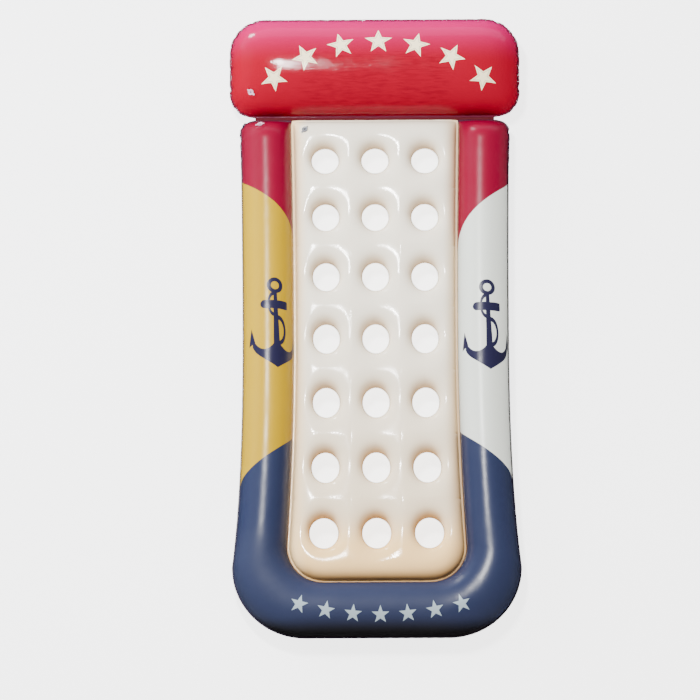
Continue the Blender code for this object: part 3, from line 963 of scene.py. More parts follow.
@dataclass(frozen=True)
class Inflation:
    """Blows a patch up with a short cloth simulation, so that its film puckers.

    Attributes:
        slack: share by which the film is longer than its weld beside it.
        reach: how far from the weld the slack goes.
        cap: the most that a point may move.
        steps: frames of the simulation.
        seed: seed of the tiny unevenness that starts the puckers.
        unevenness: its size.
        softening: how often neighbouring moves are evened out.
        evening: how far they are evened out each time.
        cloth: settings of the cloth.
    """

    slack: float = 0.06
    reach: float = 0.030
    cap: float = 0.006
    steps: int = 14
    seed: int = 5
    unevenness: float = 0.0002
    softening: int = 3
    evening: float = 0.6
    cloth: tuple[tuple[str, object], ...] = (
        ("quality", 5), ("mass", 0.2), ("tension_stiffness", 40.0),
        ("compression_stiffness", 40.0), ("shear_stiffness", 20.0), ("bending_stiffness", 0.6),
        ("tension_damping", 25.0), ("compression_damping", 25.0), ("air_damping", 4.0),
        ("vertex_group_mass", "held"), ("shrink_min", 0.0), ("vertex_group_shrink", "loose"),
        ("use_pressure", True), ("uniform_pressure_force", 6.0))

    def soften(self, move: Array, patch: Patch) -> None:
        """Evens out the moves of neighbouring points, in place.

        Args:
            move: each point's move.
            patch: the film.
        """
        pairs = {tuple(sorted(pair)) for face in patch.faces
                 for pair in zip(face, face[1:] + face[:1])}
        first, second = np.array(sorted(pairs)).T
        count = np.bincount(np.r_[first, second], minlength=len(move))[:, None]
        for _ in range(self.softening):
            total = np.zeros_like(move)
            np.add.at(total, first, move[second])
            np.add.at(total, second, move[first])
            move += self.evening * (total / np.maximum(count, 1) - move)
            move[patch.fixed] = 0.0

    def simulate(self, patch: Patch, still: Array) -> Array:
        """Runs the cloth.

        Args:
            patch: the film.
            still: share by which each point is held where it is.

        Returns:
            Each point's move.
        """
        start = patch.points.copy()
        uneven = np.random.default_rng(self.seed).normal(0.0, self.unevenness, len(start))
        uneven[patch.fixed] = 0.0
        start[:, 2] += uneven
        mesh = bpy.data.meshes.new("inflating")
        mesh.from_pydata(start.tolist(), [], patch.faces)
        obj = bpy.data.objects.new("inflating", mesh)
        bpy.context.scene.collection.objects.link(obj)
        held = obj.vertex_groups.new(name="held")
        loose = obj.vertex_groups.new(name="loose")
        welds = patch.weld_distance()
        for index, (fixed, hold, gap) in enumerate(zip(patch.fixed, still, welds)):
            if fixed or hold > 0.0:
                held.add([index], 1.0 if fixed else float(hold), "REPLACE")
            loose.add([index], math.exp(-(gap / self.reach) ** 2), "REPLACE")
        cloth = obj.modifiers.new("inflate", "CLOTH")
        for name, value in self.cloth:
            setattr(cloth.settings, name, value)
        cloth.settings.shrink_max = -self.slack
        cloth.settings.effector_weights.gravity = 0.0
        cloth.point_cache.frame_start = 1
        cloth.point_cache.frame_end = self.steps
        scene = bpy.context.scene
        for step in range(1, self.steps + 1):
            scene.frame_set(step)
        graph = bpy.context.evaluated_depsgraph_get()
        result = obj.evaluated_get(graph).to_mesh()
        moved = np.empty(len(start) * 3)
        result.vertices.foreach_get("co", moved)
        bpy.data.objects.remove(obj)
        bpy.data.meshes.remove(mesh)
        scene.frame_set(1)
        return moved.reshape(-1, 3) - patch.points

    def run(self, patch: Patch, still: Array) -> None:
        """Moves the patch's free points.

        Args:
            patch: the film, changed in place.
            still: share by which each point is held where it is.
        """
        move = self.simulate(patch, still)
        self.soften(move, patch)
        size = np.linalg.norm(move, axis=1, keepdims=True)
        move *= self.cap * np.tanh(size / self.cap) / np.maximum(size, MERGE)
        move[patch.fixed] = 0.0
        patch.points = patch.points + move
        LOG.info("film inflated: moved %.1f mm at most", 1000 * float(size.max()))


@dataclass(frozen=True)
class Ruffle:
    """Waves of a welded edge, and the puckers that run from it into the film.

    Attributes:
        waves: wave lengths that are summed.
        turn: turns the waves against each other.
        gain: brings their sum near 1.
        edge: height of the edge's own wave.
        pucker: depth of the creases beside the weld.
        shift: stretches and moves the creases against the edge's wave.
        scallop: how far the edge's outline goes in and out.
        lobe: length of one scallop.
        uneven: how much and how quickly the scallops' lengths change.
        roundness: power that rounds a scallop and sharpens the notch beside it.
        fade: how far the edge's wave reaches into the film.
        crease: how far from the weld the creases are deepest.
        reach: how many times that distance they go.
    """

    waves: tuple[float, ...] = (0.0120, 0.0175, 0.0290)
    turn: float = 1.7
    gain: float = 1.4
    edge: float = 0.0016
    pucker: float = 0.0017
    shift: Pair = (1.07, 0.004)
    scallop: float = 0.0024
    lobe: float = 0.0185
    uneven: Pair = (0.35, 1.9)
    roundness: float = 0.7
    fade: float = 0.010
    crease: float = 0.009
    reach: float = 6.0

    def wave(self, lengths: Array, seed: float) -> Array:
        """The summed waves along an edge.

        Args:
            lengths: places along the edge.
            seed: which waves these are.

        Returns:
            Values about from -1 to 1.
        """
        total = np.zeros_like(lengths)
        for index, wave in enumerate(self.waves):
            total += np.sin(math.tau * lengths / wave + seed * (index + self.turn) ** 2)
        return total / len(self.waves) * self.gain

    def lobes(self, lengths: Array) -> Array:
        """Uneven round lobes with sharp notches between them.

        Args:
            lengths: places along the edge.

        Returns:
            Values from -1 to 1.
        """
        share, speed = self.uneven
        places = lengths + share * self.lobe * np.sin(lengths / self.lobe * speed)
        return 2 * np.abs(np.sin(math.pi * places / self.lobe)) ** self.roundness - 1


@dataclass(frozen=True)
class EdgeLoop:
    """A film's outer edge, as it is before it is ruffled.

    Attributes:
        verts: its vertices, in order and anticlockwise.
        flat: their plan places.
        out: their outward directions.
        lengths: how far along the edge they are.
    """

    verts: list[bmesh.types.BMVert]
    flat: Array
    out: Array
    lengths: Array

    @classmethod
    def of(cls, bm: bmesh.types.BMesh) -> "EdgeLoop":
        """Finds the outer edge of a film.

        Args:
            bm: the film.

        Returns:
            Its edge.
        """
        bm.edges.index_update()
        border = {edge for edge in bm.edges if edge.is_boundary}
        loops = []
        while border:
            edge = min(border, key=lambda e: e.index)
            border.discard(edge)
            loop = [edge.verts[0], edge.verts[1]]
            while loop[-1] is not loop[0]:
                ahead = next(e for e in loop[-1].link_edges if e in border)
                border.discard(ahead)
                loop.append(ahead.other_vert(loop[-1]))
            loops.append(loop[:-1])
        verts = max(loops, key=lambda loop: max(v.co.x for v in loop) - min(v.co.x for v in loop))
        flat = np.array([vert.co[:2] for vert in verts])
        ahead = np.roll(flat, -1, axis=0)
        if np.sum(flat[:, 0] * ahead[:, 1] - flat[:, 1] * ahead[:, 0]) < 0:
            verts, flat = verts[::-1], flat[::-1]
        ahead, behind = np.roll(flat, -1, axis=0), np.roll(flat, 1, axis=0)
        along = ahead - behind
        along /= np.linalg.norm(along, axis=1, keepdims=True)
        lengths = np.r_[0.0, np.cumsum(np.linalg.norm(ahead - flat, axis=1))[:-1]]
        return cls(verts, flat, np.c_[along[:, 1], -along[:, 0]], lengths)


# Chambers


@dataclass
class AirChamber(ABC):
    """What the three air chambers share: an upper film, its mirror image and a valve.

    Attributes:
        inflation: how its films are blown up.
        ruffle: how their edges wave.
        wave_seed: chooses the waves, with the length of the chamber's word.
        still_radius: how far round the valve the film is held still.
        port_steps: vertices round the port.
        port_rings: rings of the flat pad round it.
    """

    chamber: ClassVar[Chamber]

    plan: Plan
    finish: FilmFinish
    under_finish: FilmFinish
    inflation: Inflation = Inflation()
    ruffle: Ruffle = Ruffle()
    wave_seed: float = 0.8
    still_radius: float = 0.024
    port_steps: int = 40
    port_rings: int = 4

    @property
    def place(self) -> Matrix:
        """Matrix from the chamber's own frame to the row frame."""
        return Matrix.Translation(self.plan.hinge)

    @abstractmethod
    def patch(self) -> Patch:
        """The upper film before it is inflated."""

    @abstractmethod
    def strength(self, flat: Array) -> Array:
        """The share of the ruffle at plan places."""

    @abstractmethod
    def flange(self, flat: Array) -> Array:
        """The flange's width at plan places."""

    def lift(self, flat: Array) -> Array:
        """The weld's height over the middle plane at plan places."""
        return np.full(len(flat), self.plan.weld_lift)

    def pucker(self, bm: bmesh.types.BMesh, edge: EdgeLoop, side: Side) -> Array:
        """Waves the edge and creases the film beside it.

        Args:
            bm: the film, changed in place.
            edge: its outer edge.
            side: which film it is.

        Returns:
            The edge's own wave at each vertex of the loop.
        """
        ruffle, seed = self.ruffle, self.wave_seed + len(self.chamber.word)
        share = self.strength(edge.flat)
        wave = ruffle.wave(edge.lengths, seed) * share
        notch = ruffle.lobes(edge.lengths) * share * ruffle.scallop / 2
        stretch, shift = ruffle.shift
        crease = ruffle.wave(edge.lengths * stretch + shift, seed + side.value) * share
        tree = search_tree([vert.co for vert in edge.verts])
        bm.normal_update()
        moves = []
        for vert in bm.verts:
            _, index, gap = tree.find(vert.co)
            run = gap / ruffle.crease
            if run > ruffle.reach:
                continue
            depth = ruffle.pucker * crease[index] * run * math.exp(1.0 - run)
            fade = math.exp(-gap / ruffle.fade)
            waved = Vector((*(edge.out[index] * notch[index]), ruffle.edge * wave[index])) * fade
            moves.append((vert, vert.normal * depth * (gap > 0) + waved))
        for vert, move in moves:
            vert.co += move
        return wave

    def add_flange(self, bm: bmesh.types.BMesh, edge: EdgeLoop, wave: Array, side: Side) -> None:
        """Adds the flat welded margin outside the film's edge.

        Args:
            bm: the film, changed in place.
            edge: its outer edge.
            wave: the edge's own wave.
            side: which film it is.
        """
        flat, width = edge.flat, self.flange(edge.flat)
        lobes = self.ruffle.lobes(edge.lengths) * self.strength(flat) * self.ruffle.scallop
        lift = side.value * self.lift(flat)
        layer = bm.verts.layers.float_vector[FILM_PLACE]
        rings = [edge.verts]
        for step in (0.5, 1.0):
            ring = []
            for index, vert in enumerate(edge.verts):
                reach = width[index] * step + lobes[index] * (0.5 + step / 2)
                x, y = flat[index] + edge.out[index] * reach
                z = lift[index] + self.ruffle.edge * wave[index] * (1.0 + step)
                made = bm.verts.new((x, y, z))
                made[layer] = (*vert[layer][:2], -reach)
                ring.append(made)
            rings.append(ring)
        join_rings(bm, rings if side is Side.TOP else rings[::-1])

    def cut_port(self, bm: bmesh.types.BMesh, seat: Matrix, radius: float, pad: float) -> None:
        """Opens the valve's port in a flat round pad of the film.

        Args:
            bm: the film, changed in place.
            seat: the valve's frame, in the chamber's own frame.
            radius: the port's.
            pad: the pad's.
        """
        center = seat.translation
        normal = seat.to_3x3() @ Vector((0.0, 0.0, 1.0))
        bmesh.ops.triangulate(bm, faces=bm.faces[:])
        layer = bm.verts.layers.float_vector[FILM_PLACE]
        near = [face for face in bm.faces
                if (geometry.closest_point_on_tri(center, *(v.co for v in face.verts))
                    - center).length < pad]
        gone = set(near)
        place = min((v for face in near for v in face.verts),
                    key=lambda v: (v.co - center).length)[layer].copy()
        border = {edge for face in near for edge in face.edges
                  if any(other not in gone for other in edge.link_faces)}
        bmesh.ops.delete(bm, geom=near, context="FACES_ONLY")
        inner = [edge for edge in bm.edges if not edge.link_faces and edge not in border]
        bmesh.ops.delete(bm, geom=inner, context="EDGES")
        bmesh.ops.delete(bm, geom=[v for v in bm.verts if not v.link_edges], context="VERTS")
        rings = []
        for reach in np.linspace(radius, pad, self.port_rings):
            ring = []
            for angle in np.arange(self.port_steps) * math.tau / self.port_steps:
                vert = bm.verts.new(seat @ Vector((math.cos(angle) * reach,
                                                   math.sin(angle) * reach, 0.0)))
                vert[layer] = place
                ring.append(vert)
            rings.append(ring)
        join_rings(bm, rings)
        pad_edges = {edge for vert in rings[-1] for edge in vert.link_edges
                     if edge.other_vert(vert) in rings[-1]}
        bmesh.ops.triangle_fill(bm, use_beauty=True, use_dissolve=False, normal=normal,
                                edges=list(border | pad_edges))
        bmesh.ops.recalc_face_normals(bm, faces=bm.faces[:])
        if sum(face.normal.z * face.calc_area() for face in bm.faces) < 0:
            bmesh.ops.reverse_faces(bm, faces=bm.faces[:])

    def add_film(self, patch: Patch, side: Side, finish: FilmFinish, valve: "Valve") -> None:
        """Builds one film as an object that rides on its body.

        Args:
            patch: the chamber's inflated upper film.
            side: which film to make of it.
            finish: its finish.
            valve: the valve, which sits in a port of the upper film.
        """
        bm = bmesh.new()
        layer = bm.verts.layers.float_vector.new(FILM_PLACE)
        points = patch.points * (1.0, 1.0, float(side.value))
        verts = []
        for point, flat, gap in zip(points, patch.flat, patch.weld_distance()):
            verts.append(bm.verts.new(point))
            verts[-1][layer] = (*flat, gap)
        for face in patch.faces:
            corners = [verts[index] for index in face]
            bm.faces.new(corners if side is Side.TOP else corners[::-1])
        edge = EdgeLoop.of(bm)
        self.add_flange(bm, edge, self.pucker(bm, edge, side), side)
        if side is Side.TOP:
            self.cut_port(bm, self.place.inverted() @ valve.seat, *valve.port)
        bmesh.ops.transform(bm, matrix=self.place, verts=bm.verts[:])
        for vert in bm.verts:
            vert.co.z = max(vert.co.z, FLOOR_GAP)
        name = f"{self.chamber.word}_{side.name.lower()}"
        film = add_object(f"{name}_film", bm, finish.material())
        thicken(film, self.plan.skin, -1.0)
        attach(film, self.chamber.body)
        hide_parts(f"{name}_skin")

    def build(self, valve: "Valve") -> None:
        """Args:
            valve: the chamber's valve.
        """
        patch = self.patch()
        seat = self.place.inverted() @ valve.seat
        gap = np.linalg.norm(patch.points - np.array(seat.translation), axis=1)
        self.inflation.run(patch, np.clip(2.0 - gap / self.still_radius, 0.0, 1.0))
        self.add_film(patch, Side.TOP, self.finish, valve)
        self.add_film(patch, Side.BOTTOM, self.under_finish, valve)


@dataclass
class HeadrestPillow(AirChamber):
    """The pillow across the head, tilted up on its hinge."""

    chamber: ClassVar[Chamber] = Chamber.HEADREST

    finish: FilmFinish = HeadrestPrint("headrest_print", (0.265, 0.0, 0.0130), 0.125, 1.17,
                                       weld_color=(0.060, 0.012, 0.028))
    under_finish: FilmFinish = FilmFinish("headrest_under_film", (0.22, 0.0, 0.0120),
                                          weld_color=(0.060, 0.012, 0.028))
    width: float = 0.720
    depth: float = 0.2530
    half_height: float = 0.075
    far_corner: float = 0.085
    near_corner: float = 0.058
    squareness: int = 8
    across_steps: int = 150
    along_steps: int = 54
    tilt_halvings: int = 60
    ends_from: float = 0.72
    ends_fade: float = 0.06
    near_fade: float = 0.012
    calm: float = 0.25

    def __post_init__(self) -> None:
        """Works out the pillow's own sizes and its tilt."""
        plan = self.plan
        self.half_depth = (self.depth - plan.hinge_strip / 2 - plan.end_flange
                           - plan.edge_flange) / 2
        self.middle = plan.hinge_strip / 2 + plan.end_flange + self.half_depth
        self.half_width = self.width / 2 - plan.edge_flange
        self.tilt = self.find_tilt()
        LOG.info("headrest tilt %.2f degrees", math.degrees(self.tilt))

    @property
    def place(self) -> Matrix:
        """Matrix from the pillow's own frame, which is tilted, to the row frame."""
        return Matrix.Translation(self.plan.hinge) @ Matrix.Rotation(self.tilt, 4, "X")

    def find_tilt(self) -> float:
        """Finds the tilt at which the pillow stands on the floor.

        Returns:
            The tilt in radians.
        """
        low, high = -math.pi / 4, math.pi / 4
        for _ in range(self.tilt_halvings):
            tilt = (low + high) / 2
            lean = math.hypot(self.half_depth * math.sin(tilt), self.half_height * math.cos(tilt))
            lowest = (self.plan.hinge.z + self.middle * math.sin(tilt)
                      - self.plan.weld_lift * math.cos(tilt) - lean)
            if lowest < -self.plan.rest_cut:
                low = tilt
            else:
                high = tilt
        return (low + high) / 2

    def patch(self) -> Patch:
        """Lays the upper film as a grid over the pillow.

        Returns:
            The film.
        """
        order = np.arange(CURVE_SAMPLES)
        turns = np.linspace(-math.pi / 2, math.pi / 2, CURVE_SAMPLES)
        section = np.c_[self.half_depth * np.sin(turns), self.half_height * np.cos(turns)]
        t = np.interp(even_steps(section, self.along_steps), order, turns)
        section = np.c_[self.half_depth * np.sin(t), self.half_height * np.cos(t)]
        s = np.cumsum(np.r_[0.0, np.hypot(*np.diff(section, axis=0).T)])
        s -= s[-1] / 2
        ends = np.sign(turns) * np.abs(np.sin(turns)) ** (2 / self.squareness)
        profile = np.c_[ends * self.half_width, self.half_height * np.cos(turns)]
        e = np.interp(even_steps(profile, self.across_steps), order, turns)
        share = np.sign(e) * np.abs(np.sin(e)) ** (2 / self.squareness)
        along = np.clip(np.sin(t), -1.0, 1.0)
        near = arc_inset(self.near_corner, self.half_depth * (1 + along))
        far = arc_inset(self.far_corner, self.half_depth * (1 - along))
        x = share[None, :] * (self.half_width - near - far)[:, None]
        y = np.broadcast_to((self.middle + self.half_depth * along)[:, None], x.shape)
        z = self.half_height * np.cos(e)[None, :] * np.cos(t)[:, None]
        points = np.stack([x, y, z + self.plan.weld_lift], axis=-1)
        flat = np.stack([x, np.broadcast_to(s[:, None], x.shape)], axis=-1)
        return Patch.grid(points, flat, False)

    def strength(self, flat: Array) -> Array:
        """Puckers are strong round the ends and none at the hinge.

        Args:
            flat: plan places.

        Returns:
            Shares from 0 to 1.
        """
        from_ends = np.abs(flat[:, 0]) - self.half_width * self.ends_from
        ends = np.clip(from_ends / self.ends_fade, 0.0, 1.0)
        away = np.clip((flat[:, 1] - self.plan.pillow_y) / self.near_fade, 0.0, 1.0)
        return (self.calm + (1.0 - self.calm) * ends) * away

    def flange(self, flat: Array) -> Array:
        """Flange width: wider at the hinge."""
        near = flat[:, 1] < self.plan.pillow_y + MERGE
        return np.where(near, self.plan.end_flange, self.plan.edge_flange)


@dataclass
class SideTube(AirChamber):
    """The U-shaped tube round the mattress."""

    chamber: ClassVar[Chamber] = Chamber.FRAME

    finish: FilmFinish = FramePrint("side_tube_print", (0.18, 0.0, 0.0180), 0.32, 1.19)
    under_finish: FilmFinish = FilmFinish("side_tube_under_film", (0.0165, 0.0210, 0.0480))
    half_height: float = 0.060
    end_round: float = 0.055
    end_corner: float = 0.030
    across_steps: int = 34
    leg_steps: int = 170
    end_steps: int = 12
    corner_steps: int = 40
    foot_steps: int = 42
    foot_inset: float = 0.02
    outer_inset: float = 0.05
    pucker_from: float = 0.03
    pucker_run: float = 0.10
    end_calm: float = 0.002
    outer_calm: float = 0.10
    inner_calm: float = 0.06

    def stations(self) -> tuple[Array, Array, Array]:
        """Lays out cross sections from one closed end round to the other.

        Returns:
            The inner seam's and the outer seam's plan places, and distances from the end.
        """
        plan = self.plan
        leg = plan.seam_y - plan.inner_arc_y
        turns = np.linspace(0.0, math.pi / 2, self.end_steps + 1)
        downs = np.r_[self.end_round * (1 - np.cos(turns)),
                      np.linspace(self.end_round, leg, self.leg_steps + 1)[1:]]
        inner_y = plan.seam_y - downs
        share = np.clip((downs - self.end_round) / (leg - self.end_round), 0.0, 1.0)
        outer_y = np.where(downs > self.end_round,
                           (plan.seam_y - self.end_round) * (1 - share)
                           + plan.outer_arc_y * share, inner_y)
        inner_x = plan.panel_half(inner_y) + plan.seam_clearance
        outer_x = inner_x + plan.tube_width + plan.swell(inner_y)
        outer_x = outer_x - arc_inset(self.end_corner, downs)
        angle = np.linspace(0.0, math.pi / 2, self.corner_steps + 1)[1:]
        arc = np.c_[np.cos(angle), -np.sin(angle)]
        inner_center = (float(plan.panel_half(plan.inner_arc_y)) - plan.panel_corner,
                        plan.inner_arc_y)
        outer_center = (float(outer_x[-1]) + plan.edge_flange - plan.tube_corner,
                        plan.outer_arc_y)
        inner = np.r_[np.c_[inner_x, inner_y],
                      inner_center + (plan.panel_corner + plan.seam_clearance) * arc]
        outer = np.r_[np.c_[outer_x, outer_y],
                      outer_center + (plan.tube_corner - plan.edge_flange) * arc]
        share = np.linspace(0.0, 1.0, self.foot_steps + 1)[1:-1, None]
        mirror = np.array([-1.0, 1.0])
        inner, outer = (np.r_[half, half[-1] * (1 - share) + half[-1] * mirror * share,
                              half[::-1] * mirror] for half in (inner, outer))
        down = np.r_[downs, np.full(self.corner_steps, leg)]
        return inner, outer, np.r_[down, np.full(self.foot_steps - 1, leg), down[::-1]]

    def patch(self) -> Patch:
        """Lays the upper film as a grid along the U.

        Returns:
            The film.
        """
        inner, outer, down = self.stations()
        turns = np.linspace(-math.pi / 2, math.pi / 2, self.across_steps + 1)
        share = (np.sin(turns) + 1) / 2
        plan_xy = inner[:, None] * (1 - share[:, None]) + outer[:, None] * share[:, None]
        end = 1.0 - np.minimum(1.0, down / self.end_round)
        height = np.sqrt(np.maximum(0.0, 1 - end ** 2))[:, None] * np.cos(turns)[None, :]
        z = self.plan.weld_lift + self.half_height * height
        width = np.linalg.norm(outer - inner, axis=1, keepdims=True)
        outward = (outer - inner) / width
        radius = np.sqrt((width ** 2 / 4 + self.half_height ** 2) / 2)
        flat = (inner + outer)[:, None] / 2 + outward[:, None] * (radius * turns)[..., None]
        flat = flat + (0.0, float(self.plan.hinge.y))
        return Patch.grid(np.concatenate([plan_xy, z[..., None]], axis=-1), flat, True)

    def outer_side(self, flat: Array, inset: float) -> Array:
        """Which plan places are on the tube's outer side, which starts outside the panel."""
        outer = np.abs(flat[:, 0]) > self.plan.panel_half(flat[:, 1]) + inset
        return outer | (flat[:, 1] < self.plan.panel_foot_y - self.foot_inset)

    def strength(self, flat: Array) -> Array:
        """Puckers are strong at the outer corners of the closed ends.

        Args:
            flat: plan places.

        Returns:
            Shares from 0 to 1.
        """
        from_end = self.plan.seam_y - flat[:, 1]
        near = np.clip(1.0 - (from_end - self.pucker_from) / self.pucker_run, 0.0, 1.0)
        near = near * (from_end > self.end_calm)
        outer = self.outer_calm + (1.0 - self.outer_calm) * near
        return np.where(self.outer_side(flat, self.outer_inset), outer, self.inner_calm)

    def flange(self, flat: Array) -> Array:
        """The flange is wide beside the mattress and narrow outside.

        Args:
            flat: plan places.

        Returns:
            Widths.
        """
        plan = self.plan
        width = np.where(self.outer_side(flat, plan.tube_width / 2), plan.edge_flange,
                         plan.side_flange + plan.seam_clearance)
        return np.where(flat[:, 1] > plan.seam_y - MERGE, plan.end_flange, width)


@dataclass
class Mattress(AirChamber):
    """The mattress, drawn in at every welded hole."""

    chamber: ClassVar[Chamber] = Chamber.MATTRESS

    finish: FilmFinish = MattressFinish("mattress_film", (0.82, 0.75, 0.61), 0.16, 1.24)
    under_finish: FilmFinish = MattressFinish("mattress_under_film", (0.80, 0.74, 0.62), 0.20,
                                              1.20)
    inflation: Inflation = Inflation(softening=7)
    half_height: float = 0.052
    side_squareness: int = 6
    end_squareness: int = 20
    dimple_power: float = 1.8
    end_steps: int = 14
    side_steps: int = 20
    ring_steps: int = 17
    ring_powers: Pair = (1.6, 2.2)
    hole_reach: float = 0.045
    calm: float = 0.08

    def height(self, x: Array, y: Array) -> Array:
        """Height of the film over its welds.

        Args:
            x: plan places across.
            y: plan places along.

        Returns:
            The heights.
        """
        plan = self.plan
        across = np.abs(x) / np.maximum(MERGE, plan.seam_half(y))
        half_length = (plan.seam_y - plan.mattress_foot_y) / 2
        along = np.abs(y - (plan.seam_y + plan.mattress_foot_y) / 2) / half_length
        share = np.maximum(0.0, 1 - across ** self.side_squareness)
        share *= np.maximum(0.0, 1 - along ** self.end_squareness)
        for hole_x, hole_y, half_x, half_y in self.holes():
            reach = np.hypot((x - hole_x) / half_x, (y - hole_y) / half_y)
            share *= np.maximum(0.0, 1 - np.maximum(1.0, reach) ** -self.dimple_power)
        return self.half_height * np.sqrt(share)

    def holes(self) -> Array:
        """Every hole's centre and half sizes, row by row."""
        return np.array([self.plan.hole(column, row) for row in range(self.plan.rows)
                         for column in range(self.plan.columns)])

    def side_x(self, edge: int, y: float) -> float:
        """Plan place of the line between two columns of cells, or of the seam.

        Args:
            edge: the line's number, from the left seam.
            y: place along the mattress.

        Returns:
            The place across.
        """
        plan = self.plan
        if edge in (0, plan.columns):
            return float(plan.seam_half(y)) * (-1 if edge == 0 else 1)
        return float(plan.column_x(edge - 1, y) + plan.column_x(edge, y)) / 2

    def cell_border(self, column: int, row: int) -> Array:
        """Plan points round one hole's cell, anticlockwise from its upper right corner.

        Args:
            column: the hole's column.
            row: its row.

        Returns:
            The points.
        """
        plan = self.plan
        top = plan.seam_y if row == 0 else (plan.row_y[row] + plan.row_y[row - 1]) / 2
        last = row == plan.rows - 1
        bottom = plan.mattress_foot_y if last else (plan.row_y[row] + plan.row_y[row + 1]) / 2
        ys = np.linspace(top, bottom, self.side_steps + 1)
        if last:
            arc = plan.panel_corner - plan.side_flange
            turn = np.linspace(0.0, math.pi / 2, self.side_steps // 2 + 1)
            ys = np.r_[np.linspace(top, bottom + arc, self.side_steps // 2 + 1)[:-1],
                       bottom + arc * (1 - np.sin(turn))]
        left = [(self.side_x(column, y), y) for y in ys]
        right = [(self.side_x(column + 1, y), y) for y in ys]
        ends = np.linspace(0.0, 1.0, self.end_steps + 1)[:-1]
        head = [(right[0][0] + (left[0][0] - right[0][0]) * share, top) for share in ends]
        foot = [(left[-1][0] + (right[-1][0] - left[-1][0]) * share, bottom) for share in ends]
        return np.array(head + left[:-1] + foot + right[::-1][:-1])

    def patch(self) -> Patch:
        """Lays the upper film as rings round every hole that meet at the cells' borders.

        Returns:
            The film.
        """
        bm = bmesh.new()
        plan = self.plan
        step = np.linspace(0.0, 1.0, self.ring_steps + 1)
        inner, outer = self.ring_powers
        rings = ((1 - step) * step ** inner + step * (1 - (1 - step) ** outer))[:, None, None]
        for row in range(plan.rows):
            for column in range(plan.columns):
                x, y, half_x, half_y = plan.hole(column, row)
                border = self.cell_border(column, row)
                turn = np.arctan2((border[:, 1] - y) / half_y, (border[:, 0] - x) / half_x)
                hole = np.c_[x + half_x * np.cos(turn), y + half_y * np.sin(turn)]
                places = hole[None] * (1 - rings) + border[None] * rings
                join_rings(bm, [[bm.verts.new((*place, 0.0)) for place in ring]
                                for ring in places])
        bmesh.ops.remove_doubles(bm, verts=bm.verts[:], dist=MERGE)
        bm.verts.index_update()
        bm.normal_update()
        points = np.array([vert.co[:] for vert in bm.verts])
        faces = [tuple(vert.index for vert in face.verts) for face in bm.faces]
        fixed = np.array([vert.is_boundary for vert in bm.verts])
        bm.free()
        height = self.height(points[:, 0], points[:, 1])
        height[fixed] = 0.0
        from_holes = np.hypot(*(points[:, None, :2] - self.holes()[None, :, :2]).T).min(0)
        rim = fixed & (from_holes > self.hole_reach)
        points[:, 2] = np.where(rim, self.lift(points[:, :2]), plan.weld_lift) + height
        return Patch(points, faces, fixed, points[:, :2] + (0.0, float(plan.hinge.y)))

    def strength(self, flat: Array) -> Array:
        """The mattress's margin lies nearly flat."""
        return np.full(len(flat), self.calm)

    def flange(self, flat: Array) -> Array:
        """Flange width."""
        head = flat[:, 1] > self.plan.seam_y - MERGE
        return np.where(head, self.plan.end_flange, self.plan.side_flange)

    def lift(self, flat: Array) -> Array:
        """The margin lies over the tube's flange at the sides, and close at the head.

        Args:
            flat: plan places.

        Returns:
            The weld's heights.
        """
        plan = self.plan
        side = np.abs(flat[:, 0]) > plan.seam_half(flat[:, 1]) - MERGE
        side |= flat[:, 1] < plan.mattress_foot_y + MERGE
        return np.where(side, plan.sandwich_lift, plan.weld_lift)


# Valves and the hinge seam


